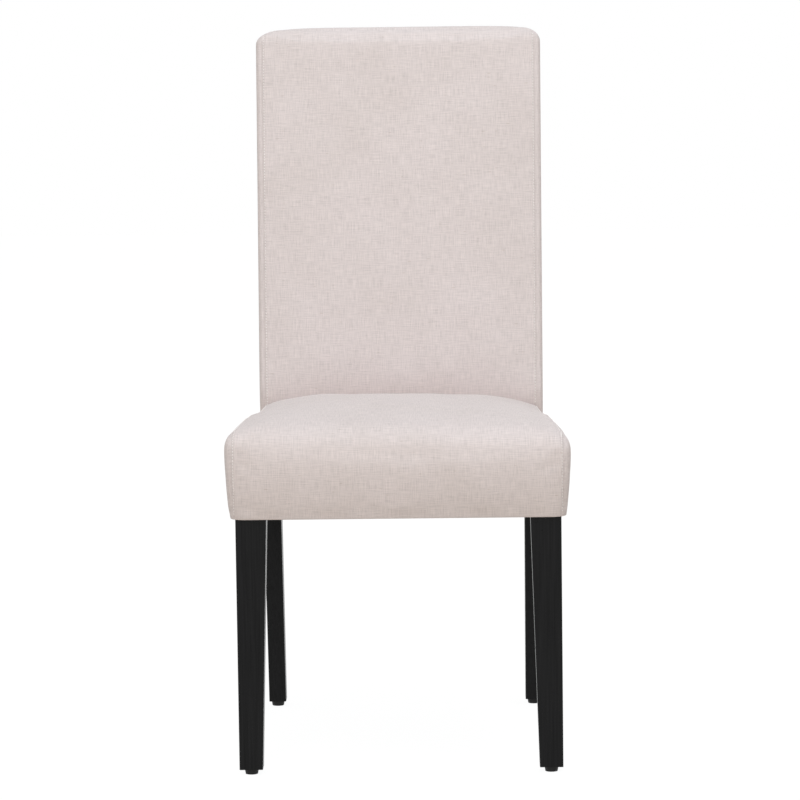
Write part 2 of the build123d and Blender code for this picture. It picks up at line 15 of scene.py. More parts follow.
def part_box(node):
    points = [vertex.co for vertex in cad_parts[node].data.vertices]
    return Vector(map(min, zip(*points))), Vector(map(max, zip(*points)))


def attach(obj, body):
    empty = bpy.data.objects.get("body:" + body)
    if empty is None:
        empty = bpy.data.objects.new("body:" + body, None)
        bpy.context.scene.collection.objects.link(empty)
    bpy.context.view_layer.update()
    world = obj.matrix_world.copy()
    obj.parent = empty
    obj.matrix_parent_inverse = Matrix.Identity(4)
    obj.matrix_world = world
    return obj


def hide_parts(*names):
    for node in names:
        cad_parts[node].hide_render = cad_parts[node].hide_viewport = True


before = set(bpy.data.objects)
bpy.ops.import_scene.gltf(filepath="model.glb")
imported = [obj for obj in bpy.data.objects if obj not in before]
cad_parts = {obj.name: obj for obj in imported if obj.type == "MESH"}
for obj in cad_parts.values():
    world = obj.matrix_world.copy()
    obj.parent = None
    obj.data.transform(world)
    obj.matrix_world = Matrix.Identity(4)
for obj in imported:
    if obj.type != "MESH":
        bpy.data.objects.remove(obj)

logging.basicConfig(level=logging.INFO, format="%(name)s: %(message)s")
log = logging.getLogger("dining_chair")

Array = np.ndarray
Pair = tuple[float, float]
Point = tuple[float, float, float]
Colour = tuple[float, float, float]
WHITE: Colour = (1.0, 1.0, 1.0)
ROUND_LIMIT = 0.9
STAND_OFF = 0.03


class Hand(Enum):
    """Side of the chair, as seen by a person in front of it."""

    LEFT = -1
    RIGHT = 1

    @property
    def word(self) -> str:
        """Lower-case name of the side."""
        return self.name.lower()


class Panel(Enum):
    """Panel of the cover that a face of a cushion belongs to."""

    MIDDLE = 0
    SIDE = 1
    REAR = 2
    TOP = 3


def smooth_step(value: Array) -> Array:
    """Ease from 0 to 1 while the value goes from 0 to 1: three squares less two cubes."""
    bounded = np.clip(value, 0.0, 1.0)
    return bounded * bounded * (3.0 - 2.0 * bounded)


def crowd(run: Array, even: float) -> Array:
    """Move places between -1 and 1 towards both ends: an even share of the run, the rest a quarter sine."""
    return even * run + (1.0 - even) * np.sin(np.pi / 2 * run)


def arc(centre: Pair, radius: float, start: float, end: float, count: int) -> Array:
    """Points of a circular arc: the centre plus the radius times cosine and sine of even angles.

    Args:
        centre: centre of the arc.
        radius: radius of the arc.
        start: first angle in radians.
        end: last angle in radians.
        count: number of points.

    Returns:
        The points, one row each.
    """
    angles = np.linspace(start, end, count)
    return np.stack([centre[0] + radius * np.cos(angles), centre[1] + radius * np.sin(angles)], axis=1)


def run_lengths(points: Array) -> Array:
    """Distance along a line of points to each of them: the running sum of the gaps."""
    gaps = np.linalg.norm(np.diff(points, axis=0), axis=1)
    return np.concatenate([[0.0], np.cumsum(gaps)])


def resample(points: Array, count: int) -> Array:
    """Evenly spaced points along a line of points, interpolated over its running length.

    Args:
        points: the line's points, one row each: up to three columns of place, then what goes with it.
        count: number of points wanted.

    Returns:
        The new points, one row each.
    """
    lengths = run_lengths(points[:, :3])
    wanted = np.linspace(0.0, lengths[-1], count)
    return np.stack([np.interp(wanted, lengths, column) for column in points.T], axis=1)


def round_ring(
    across: Array, along: Array, half_across: Array, half_along: Array, radius: Array
) -> tuple[Array, Array]:
    """Carry the edge of a unit square onto a rounded rectangle.

    A point is scaled to the half sizes. Where it lies nearer to a corner than the radius, it goes onto the
    corner's arc, turned from its own edge by 45 degrees times one less its distance over the radius.

    Args:
        across: places on the square's edge across, from -1 to 1.
        along: places on the square's edge along, from -1 to 1.
        half_across: half size across.
        half_along: half size along.
        radius: corner radius.

    Returns:
        The places across and along on the rounded rectangle.
    """
    radius = np.minimum(radius, ROUND_LIMIT * np.minimum(half_across, half_along))
    on_side = np.abs(across) >= np.abs(along)
    gap = np.where(on_side, (1 - np.abs(along)) * half_along, (1 - np.abs(across)) * half_across) / radius
    turn = np.pi / 4 * np.clip(1 - gap, 0.0, 1.0)
    arc_across = half_across - radius + radius * np.where(on_side, np.cos(turn), np.sin(turn))
    arc_along = half_along - radius + radius * np.where(on_side, np.sin(turn), np.cos(turn))
    placed_across = np.where(gap < 1, arc_across, np.abs(across) * half_across)
    placed_along = np.where(gap < 1, arc_along, np.abs(along) * half_along)
    return np.copysign(placed_across, across), np.copysign(placed_along, along)


def grid_faces(index: Array) -> Array:
    """Quads between neighbouring rows and columns of a table of point numbers."""
    corners = [index[:-1, :-1], index[:-1, 1:], index[1:, 1:], index[1:, :-1]]
    return np.stack(corners, axis=-1).reshape(-1, 4)


def tube_faces(index: Array) -> Array:
    """Quads of a tube whose rings of point numbers close on themselves."""
    return grid_faces(np.concatenate([index, index[:, :1]], axis=1))


def bar_faces(rings: int, sides: int, count: int) -> Array:
    """Quads of equal closed tubes, their ends filled by strips between the two halves of the end rings.

    Args:
        rings: number of rings of a tube.
        sides: number of points of a ring, an even number.
        count: number of tubes, whose points follow each other.

    Returns:
        The quads of all tubes.
    """
    index = np.arange(rings * sides).reshape(rings, sides)
    near, far = (np.stack([ring[: sides // 2], ring[::-1][: sides // 2]]) for ring in index[[0, -1]])
    one = np.concatenate([tube_faces(index), grid_faces(near)[:, ::-1], grid_faces(far)])
    return (one[None] + (np.arange(count) * index.size)[:, None, None]).reshape(-1, 4)


def make_piece(name: str, points: Array, faces: Array, weave: Array | None = None) -> bpy.types.Object:
    """Put points and quads into a smooth mesh object at the origin.

    Args:
        name: name of the piece.
        points: places, one row each.
        faces: four point numbers for each quad, counter-clockwise from outside.
        weave: cloth coordinates in metres for each quad's corners, in the order of the faces.

    Returns:
        The linked object.
    """
    mesh = bpy.data.meshes.new(name)
    mesh.vertices.add(len(points))
    mesh.vertices.foreach_set("co", np.asarray(points, np.float32).ravel())
    mesh.loops.add(faces.size)
    mesh.loops.foreach_set("vertex_index", np.asarray(faces, np.int32).ravel())
    mesh.polygons.add(len(faces))
    mesh.polygons.foreach_set("loop_start", np.arange(0, faces.size, 4, dtype=np.int32))
    mesh.update(calc_edges=True)
    if weave is not None:
        layer = mesh.uv_layers.new(name="weave")
        layer.data.foreach_set("uv", np.asarray(weave, np.float32).ravel())
    mesh.shade_smooth()
    piece = bpy.data.objects.new(name, mesh)
    bpy.context.scene.collection.objects.link(piece)
    return piece


def read_points(mesh: bpy.types.Mesh) -> Array:
    """Places of a mesh's points, one row each."""
    flat = np.empty(len(mesh.vertices) * 3, np.float32)
    mesh.vertices.foreach_get("co", flat)
    return flat.reshape(-1, 3).astype(float)


def read_normals(mesh: bpy.types.Mesh) -> Array:
    """Directions in which a mesh's points face, one row each."""
    flat = np.empty(len(mesh.vertices) * 3, np.float32)
    mesh.vertex_normals.foreach_get("vector", flat)
    return flat.reshape(-1, 3).astype(float)


def write_points(mesh: bpy.types.Mesh, points: Array) -> None:
    """Move a mesh's points to new places."""
    mesh.vertices.foreach_set("co", np.asarray(points, np.float32).ravel())
    mesh.update()


@dataclass(frozen=True)
class Swelling:
    """Short cloth run that swells a cushion against the points that hold it."""

    pressure: float = 4.0
    frames: int = 20
    reach: float = 0.004
    stiffness: float = 12.0
    quality: int = 4
    mass: float = 0.3
    still: float = 1e-9

    def run(self, piece: bpy.types.Object, held: Array) -> None:
        """Blow the cover out from inside, and keep the result.

        Each point's move is limited smoothly: the reach times the hyperbolic tangent of move over reach.

        Args:
            piece: cushion whose mesh is swollen.
            held: how firmly each point is held, from 0 to 1.
        """
        start = read_points(piece.data)
        group = piece.vertex_groups.new(name="held")
        for weight in np.unique(held[held > 0]):
            group.add(np.flatnonzero(held == weight).tolist(), float(weight), "REPLACE")
        cloth = piece.modifiers.new("swelling", "CLOTH")
        settings = cloth.settings
        settings.quality = self.quality
        settings.mass = self.mass
        settings.tension_stiffness = self.stiffness
        settings.compression_stiffness = self.stiffness
        settings.use_pressure = True
        settings.uniform_pressure_force = self.pressure
        settings.vertex_group_mass = group.name
        settings.effector_weights.gravity = 0.0
        cloth.collision_settings.use_collision = False
        cloth.point_cache.frame_end = self.frames
        scene = bpy.context.scene
        for number in range(1, self.frames + 1):
            scene.frame_set(number)
        swollen = piece.evaluated_get(bpy.context.evaluated_depsgraph_get())
        move = read_points(swollen.data) - start
        piece.modifiers.remove(cloth)
        piece.vertex_groups.remove(group)
        scene.frame_set(1)
        length = np.linalg.norm(move, axis=1, keepdims=True)
        limited = self.reach * np.tanh(length / self.reach)
        write_points(piece.data, start + move * limited / np.maximum(length, self.still))


def refine(piece: bpy.types.Object) -> None:
    """Divide a piece's quads once by subdivision, and keep the result."""
    modifier = piece.modifiers.new("refine", "SUBSURF")
    modifier.levels = 1
    modifier.render_levels = 1
    finer = bpy.data.meshes.new_from_object(piece.evaluated_get(bpy.context.evaluated_depsgraph_get()))
    piece.modifiers.remove(modifier)
    coarse = piece.data
    piece.data = finer
    bpy.data.meshes.remove(coarse)
    finer.name = piece.name


@dataclass(frozen=True)
class Seam:
    """Sewn line that draws cloth in, with puckers along it and a low roll of cloth on each side."""

    depth: float
    width: float
    roll_height: float = 0.0
    roll_gap: float = 0.006
    roll_width: float = 0.004
    pitch: float = 0.0075
    beat: float = 0.041
    pucker_share: float = 0.28

    def pucker(self, run: Array) -> Array:
        """Pull of the thread along the seam: a steady share, and a share that beats by two cosines."""
        turns = 2 * np.pi * run
        beats = np.cos(turns / self.pitch) * np.cos(turns / self.beat)
        return 1 - self.pucker_share + self.pucker_share * beats

    def groove(self, gap: Array) -> Array:
        """Fall of the cloth at a distance from the seam: a narrow bell curve."""
        return -self.depth * np.exp(-((gap / self.width) ** 2))

    def rolls(self, gap: Array) -> Array:
        """Rise of the cloth at a distance from the seam: a low bell curve on each side."""
        return self.roll_height * np.exp(-(((np.abs(gap) - self.roll_gap) / self.roll_width) ** 2))


@dataclass(frozen=True)
class Ripple:
    """Faint unevenness of stretched cloth, with its waves in radians to the metre."""

    height: float
    crossing: Pair
    crossing_start: Pair
    slant: Pair
    counter: Pair
    counter_start: float
    slant_share: float = 0.6
    counter_share: float = 0.4

    def rise(self, across: Array, along: Array, up: Array) -> Array:
        """Rise of the cloth: the product of two sines, plus two lower sines on slanting lines.

        Args:
            across: places across.
            along: places along the cloth.
            up: heights.

        Returns:
            The rise at each place.
        """
        total = np.sin(across * self.crossing[0] + self.crossing_start[0])
        total *= np.sin(along * self.crossing[1] + self.crossing_start[1])
        total += self.slant_share * np.sin(across * self.slant[0] + up * self.slant[1])
        counter = along * self.counter[0] + across * self.counter[1] + self.counter_start
        return self.height * (total + self.counter_share * np.sin(counter))


class Nodes:
    """Node tree of one material, with short calls that add and link nodes."""

    def __init__(self, name: str) -> None:
        """Start a material with a single surface shader."""
        self.material = bpy.data.materials.new(name)
        self.material.use_nodes = True
        self.tree = self.material.node_tree
        self.shader = self.tree.nodes["Principled BSDF"]

    def add(self, kind: str, **values: object) -> bpy.types.Node:
        """Add a node and set its properties.

        Args:
            kind: type name of the node.
            values: properties of the node by name.

        Returns:
            The new node.
        """
        node = self.tree.nodes.new(kind)
        for name, value in values.items():
            setattr(node, name, value)
        return node

    def link(self, source: bpy.types.NodeSocket, target: bpy.types.NodeSocket) -> None:
        """Link two sockets."""
        self.tree.links.new(source, target)

    def place(self, source: str, scale: Point) -> bpy.types.NodeSocket:
        """Coordinates of a surface, scaled on each axis.

        Args:
            source: output of the coordinate node, UV or Object.
            scale: repeats to the metre on each axis.

        Returns:
            The socket that gives the scaled place.
        """
        coordinates = self.add("ShaderNodeTexCoord")
        mapping = self.add("ShaderNodeMapping")
        mapping.inputs["Scale"].default_value = scale
        self.link(coordinates.outputs[source], mapping.inputs["Vector"])
        return mapping.outputs["Vector"]

    def noise(
        self, place: bpy.types.NodeSocket, detail: float = 2.0, roughness: float = 0.5
    ) -> bpy.types.NodeSocket:
        """Soft noise at a place, from 0 to 1.

        Args:
            place: socket that gives the place.
            detail: number of finer layers.
            roughness: weight of the finer layers.

        Returns:
            The socket of the noise.
        """
        node = self.add("ShaderNodeTexNoise")
        node.inputs["Scale"].default_value = 1.0
        node.inputs["Detail"].default_value = detail
        node.inputs["Roughness"].default_value = roughness
        self.link(place, node.inputs["Vector"])
        return node.outputs["Fac"]

    def math(self, operation: str, first: object, second: object = 0.0) -> bpy.types.NodeSocket:
        """Arithmetic on two sockets or numbers.

        Args:
            operation: name of the operation.
            first: socket or number.
            second: socket or number.

        Returns:
            The socket of the result.
        """
        node = self.add("ShaderNodeMath", operation=operation)
        for entry, value in zip(node.inputs, (first, second)):
            if isinstance(value, bpy.types.NodeSocket):
                self.link(value, entry)
            else:
                entry.default_value = value
        return node.outputs["Value"]

    def ramp(self, value: bpy.types.NodeSocket, stops: list[tuple[float, Colour]]) -> bpy.types.NodeSocket:
        """Colour that follows a value along stops.

        Args:
            value: socket of the value.
            stops: places from 0 to 1 with their colours.

        Returns:
            The socket of the colour.
        """
        node = self.add("ShaderNodeValToRGB")
        while len(node.color_ramp.elements) < len(stops):
            node.color_ramp.elements.new(1.0)
        for element, (place, colour) in zip(node.color_ramp.elements, stops):
            element.position = place
            element.color = (*colour, 1.0)
        self.link(value, node.inputs["Fac"])
        return node.outputs["Color"]

    def multiply(self, first: bpy.types.NodeSocket, second: bpy.types.NodeSocket) -> bpy.types.NodeSocket:
        """Product of two colours."""
        node = self.add("ShaderNodeMix", data_type="RGBA", blend_type="MULTIPLY")
        node.inputs["Factor"].default_value = 1.0
        self.link(first, node.inputs["A"])
        self.link(second, node.inputs["B"])
        return node.outputs["Result"]

    def bump(self, height: bpy.types.NodeSocket, strength: float, distance: float) -> None:
        """Raise the surface by a height.

        Args:
            height: socket of the height, from 0 to 1.
            strength: share of the effect.
            distance: rise in metres for a height of 1.
        """
        node = self.add("ShaderNodeBump")
        node.inputs["Strength"].default_value = strength
        node.inputs["Distance"].default_value = distance
        self.link(height, node.inputs["Height"])
        self.link(node.outputs["Normal"], self.shader.inputs["Normal"])

    def colour(self, socket: bpy.types.NodeSocket) -> None:
        """Colour the surface from a socket."""
        self.link(socket, self.shader.inputs["Base Color"])

    def roughness(self, value: bpy.types.NodeSocket, low: float, high: float) -> None:
        """Spread the roughness between two limits by a value.

        Args:
            value: socket from 0 to 1.
            low: roughness at 0.
            high: roughness at 1.
        """
        node = self.add("ShaderNodeMapRange")
        node.inputs["To Min"].default_value = low
        node.inputs["To Max"].default_value = high
        self.link(value, node.inputs["Value"])
        self.link(node.outputs["Result"], self.shader.inputs["Roughness"])

    def set(self, **values: float) -> None:
        """Set constant shader sockets by name, with underscores for spaces."""
        for name, value in values.items():
            self.shader.inputs[name.replace("_", " ")].default_value = value


def shade(values: Point, factor: float) -> Point:
    """A colour made darker or lighter, or a scale made finer, by a factor."""
    return tuple(value * factor for value in values)


@dataclass(frozen=True)
class LinenFinish:
    """Slubby plain weave: long thick and thin threads both ways, and a few darker slubs."""

    name: str = "cream_linen"
    colour: Colour = (0.705, 0.628, 0.615)
    thread: float = 0.0013
    slub: float = 0.020
    yarn: float = 0.0016
    yarn_share: float = 0.16
    patch: float = 9.0
    patch_tone: Colour = (0.965, 0.962, 0.955)
    slub_tone: Colour = (0.86, 0.83, 0.79)

    def build(self) -> bpy.types.Material:
        """Make the material on the cloth's own coordinates."""
        nodes = Nodes(self.name)
        fine = 1.0 / self.thread
        long = 1.0 / self.slub
        warp = nodes.noise(nodes.place("UV", (fine, long, 1.0)), roughness=0.6)
        weft = nodes.noise(nodes.place("UV", (long, fine, 1.0)), roughness=0.6)
        threads = nodes.math("MULTIPLY", nodes.math("ADD", warp, weft), 0.5)
        tone = nodes.ramp(
            threads,
            [(0.3, shade(self.colour, 0.83)), (0.48, self.colour), (0.68, shade(self.colour, 1.15))],
        )
        patches = nodes.ramp(
            nodes.noise(nodes.place("UV", (self.patch, self.patch, 1.0)), detail=1.0),
            [(0.3, self.patch_tone), (0.7, WHITE)],
        )
        dark = nodes.ramp(
            nodes.noise(nodes.place("UV", (long * 2.2, fine * 0.7, 1.0)), detail=0.0),
            [(0.0, WHITE), (0.80, WHITE), (0.86, self.slub_tone)],
        )
        nodes.colour(nodes.multiply(nodes.multiply(tone, patches), dark))
        place = nodes.add("ShaderNodeSeparateXYZ")
        turns = 2 * np.pi / self.yarn
        nodes.link(nodes.place("UV", (turns, turns, 1.0)), place.inputs["Vector"])
        crossing = nodes.math(
            "MULTIPLY",
            nodes.math("SINE", place.outputs["X"]),
            nodes.math("SINE", place.outputs["Y"]),
        )
        relief = nodes.math("ADD", threads, nodes.math("MULTIPLY", crossing, self.yarn_share))
        nodes.bump(relief, strength=0.5, distance=0.0006)
        nodes.roughness(threads, low=0.95, high=0.82)
        nodes.set(Sheen_Weight=0.24, Sheen_Roughness=0.4, Specular_IOR_Level=0.15)
        return nodes.material


@dataclass(frozen=True)
class GrainFinish:
    """Finish with one soft grain, which drives its colour, its relief and how rough it is."""

    name: str
    colour: Colour
    repeats: Point
    tones: Pair
    rough: Pair
    stops: Pair = (0.3, 0.7)
    detail: float = 2.0
    layers: float = 0.5
    relief: Pair | None = None
    film: Point | None = None
    specular: float = 0.5
    metallic: float = 0.0

    def build(self) -> bpy.types.Material:
        """Make the material on the chair's coordinates, with a film over the grain where it has one.

        Returns:
            The material.
        """
        nodes = Nodes(self.name)
        grain = nodes.noise(nodes.place("Object", self.repeats), self.detail, self.layers)
        colours = [shade(self.colour, tone) for tone in self.tones]
        nodes.colour(nodes.ramp(grain, [*zip(self.stops, colours)]))
        if self.relief:
            nodes.bump(grain, *self.relief)
        film = nodes.noise(nodes.place("Object", self.film)) if self.film else grain
        nodes.roughness(film, *self.rough)
        nodes.set(Specular_IOR_Level=self.specular, Metallic=self.metallic)
        return nodes.material


# Sewing thread, a little paler than the cloth, with a fine slanting lay.
SEWING_THREAD = GrainFinish(
    name="cream_thread",
    colour=(0.96, 0.91, 0.89),
    repeats=(1600.0, 1600.0, 2600.0),
    tones=(0.86, 1.0),
    rough=(0.7, 0.85),
    detail=1.0,
    relief=(0.4, 0.0002),
    specular=0.25,
)
# Satin lacquer over wood, whose grain just shows along the leg.
BLACK_LACQUER = GrainFinish(
    name="black_lacquer",
    colour=(0.0062, 0.0062, 0.0066),
    repeats=(420.0, 420.0, 9.0),
    tones=(0.5, 1.9),
    rough=(0.22, 0.36),
    stops=(0.25, 0.75),
    detail=3.0,
    layers=0.55,
    relief=(0.3, 0.0004),
    film=(60.0, 60.0, 60.0),
    specular=0.13,
)
# Brown pressed board with short fibre flecks.
HARDBOARD = GrainFinish(
    name="hardboard",
    colour=(0.23, 0.13, 0.07),
    repeats=(700.0, 700.0, 260.0),
    tones=(0.7, 1.3),
    rough=(0.55, 0.7),
    detail=3.0,
    layers=0.65,
    relief=(0.25, 0.0003),
    specular=0.3,
)
# Bright plating on steel, with cloudy crystals.
ZINC_PLATE = GrainFinish(
    name="zinc_plate",
    colour=(0.62, 0.62, 0.60),
    repeats=(260.0, 260.0, 260.0),
    tones=(0.85, 1.0),
    rough=(0.25, 0.42),
    detail=3.0,
    metallic=1.0,
)
# Black moulded plastic with a fine spark-eroded grain.
GLIDE_PLASTIC = GrainFinish(
    name="glide_plastic",
    colour=(0.011, 0.011, 0.011),
    repeats=(2400.0, 2400.0, 2400.0),
    tones=(0.8, 1.3),
    rough=(0.42, 0.6),
    relief=(0.25, 0.0002),
    specular=0.25,
)


@dataclass(frozen=True)
class TimberFinish:
    """Bare sawn wood whose grain runs along one axis of the chair."""

    name: str
    grain: Point
    colour: Colour = (0.50, 0.34, 0.19)
    pore_tone: Colour = (0.82, 0.79, 0.75)
    pore_fineness: float = 6.0

    def build(self) -> bpy.types.Material:
        """Make the material with long growth rings and fine pores."""
        nodes = Nodes(self.name)
        rings = nodes.noise(nodes.place("Object", self.grain), detail=4.0, roughness=0.6)
        pores = nodes.noise(nodes.place("Object", shade(self.grain, self.pore_fineness)))
        tone = nodes.ramp(
            rings,
            [(0.3, shade(self.colour, 0.72)), (0.5, self.colour), (0.7, shade(self.colour, 1.18))],
        )
        speck = nodes.ramp(pores, [(0.32, self.pore_tone), (0.46, WHITE)])
        nodes.colour(nodes.multiply(tone, speck))
        nodes.bump(pores, strength=0.3, distance=0.0004)
        nodes.roughness(rings, low=0.62, high=0.8)
        nodes.set(Specular_IOR_Level=0.3)
        return nodes.material


@dataclass(frozen=True)
class FeltFinish:
    """Black pressed-fibre cloth of the dust cover, with a dimpled bond pattern."""

    name: str = "dust_cloth"
    colour: Colour = (0.017, 0.017, 0.018)
    fibres: Point = (1500.0, 500.0, 900.0)
    dimples: Point = (420.0, 420.0, 1.0)

    def build(self) -> bpy.types.Material:
        """Make the material with fibres and bond dimples."""
        nodes = Nodes(self.name)
        fibres = nodes.noise(nodes.place("Object", self.fibres), detail=3.0, roughness=0.65)
        dots = nodes.add("ShaderNodeTexVoronoi")
        dots.inputs["Scale"].default_value = 1.0
        nodes.link(nodes.place("Object", self.dimples), dots.inputs["Vector"])
        nodes.colour(nodes.ramp(fibres, [(0.3, shade(self.colour, 0.6)), (0.7, shade(self.colour, 1.8))]))
        relief = nodes.math("ADD", fibres, dots.outputs["Distance"])
        nodes.bump(relief, strength=0.4, distance=0.0003)
        nodes.roughness(fibres, low=0.8, high=0.95)
        nodes.set(Sheen_Weight=0.2, Specular_IOR_Level=0.15)
        return nodes.material


@dataclass(frozen=True)
class StrapFinish:
    """Elastic webbing: brown ribs across the strap with two dark selvedge lines."""

    name: str = "elastic_webbing"
    colour: Colour = (0.33, 0.25, 0.15)
    rib: float = 0.0016
    threads: float = 6.0
    stripes: Point = (9.0, 0.01, 1.0)
    stripe_tone: Colour = (0.35, 0.33, 0.30)

    def build(self) -> bpy.types.Material:
        """Make the material on the strap's own coordinates: across 0 to 1, along in metres."""
        nodes = Nodes(self.name)
        ribs = nodes.noise(nodes.place("UV", (self.threads, 1.0 / self.rib, 1.0)), detail=1.0)
        lines = nodes.noise(nodes.place("UV", self.stripes), detail=0.0)
        tone = nodes.ramp(ribs, [(0.3, shade(self.colour, 0.6)), (0.7, shade(self.colour, 1.2))])
        stripes = nodes.ramp(lines, [(0.55, WHITE), (0.62, self.stripe_tone)])
        nodes.colour(nodes.multiply(tone, stripes))
        nodes.bump(ribs, strength=0.6, distance=0.0005)
        nodes.roughness(ribs, low=0.8, high=0.92)
        nodes.set(Specular_IOR_Level=0.2)
        return nodes.material


@dataclass(frozen=True)
class PostLines:
    """Lines of the back posts, seen from the side, that the padding of the back follows."""

    post_front: float = 0.131
    post_rear: float = 0.175
    post_top_depth: float = 0.026
    knee: float = 0.4403
    deck: float = 0.4196
    pad_rise: float = 0.070
    pad: float = 0.0228
    cloth: float = 0.0010
    rear_stack: float = 0.0101
    shoulder: float = 0.979
    rear_reach: float = 0.2875

    @property
    def recline(self) -> float:
        """Slope of the posts' front line: run over rise from the knee to the shoulder."""
        reach = self.rear_reach - self.rear_stack - self.post_top_depth - self.post_front
        return reach / (self.shoulder - self.knee)

    @property
    def rear_recline(self) -> float:
        """Slope of the posts' rear line."""
        return (self.rear_reach - self.rear_stack - self.post_rear) / (self.shoulder - self.knee)

    def swell(self, height: Array) -> Array:
        """Share of the front pad that is there at a height."""
        return smooth_step((height - self.deck) / self.pad_rise)

    def front(self, height: Array) -> Array:
        """Front face of the posts at a height: upright to the knee, then leaning back."""
        return self.post_front + self.recline * np.maximum(height - self.knee, 0.0)

    def straight_rear(self, height: Array) -> Array:
        """Rear face of the posts at a height, its line carried on above the shoulder."""
        return self.post_rear + self.rear_recline * np.maximum(height - self.knee, 0.0)

    def rear(self, height: Array) -> Array:
        """Rear face of the posts at a height, upright above the shoulder."""
        return self.straight_rear(np.minimum(height, self.shoulder))

    def face(self, height: Array) -> Array:
        """Front face of the back's cover at its edges."""
        return self.front(height) - self.cloth - self.pad * self.swell(height)

    def back(self, height: Array) -> Array:
        """Rear face of the back's cover."""
        return self.rear(height) + self.rear_stack


@dataclass
class CrownGrid:
    """Upper grid of the seat: grid steps, plan places and the run of cloth at each of its points."""

    across: Array
    along: Array
    x: Array
    y: Array
    run: Array
    on_wall: Array


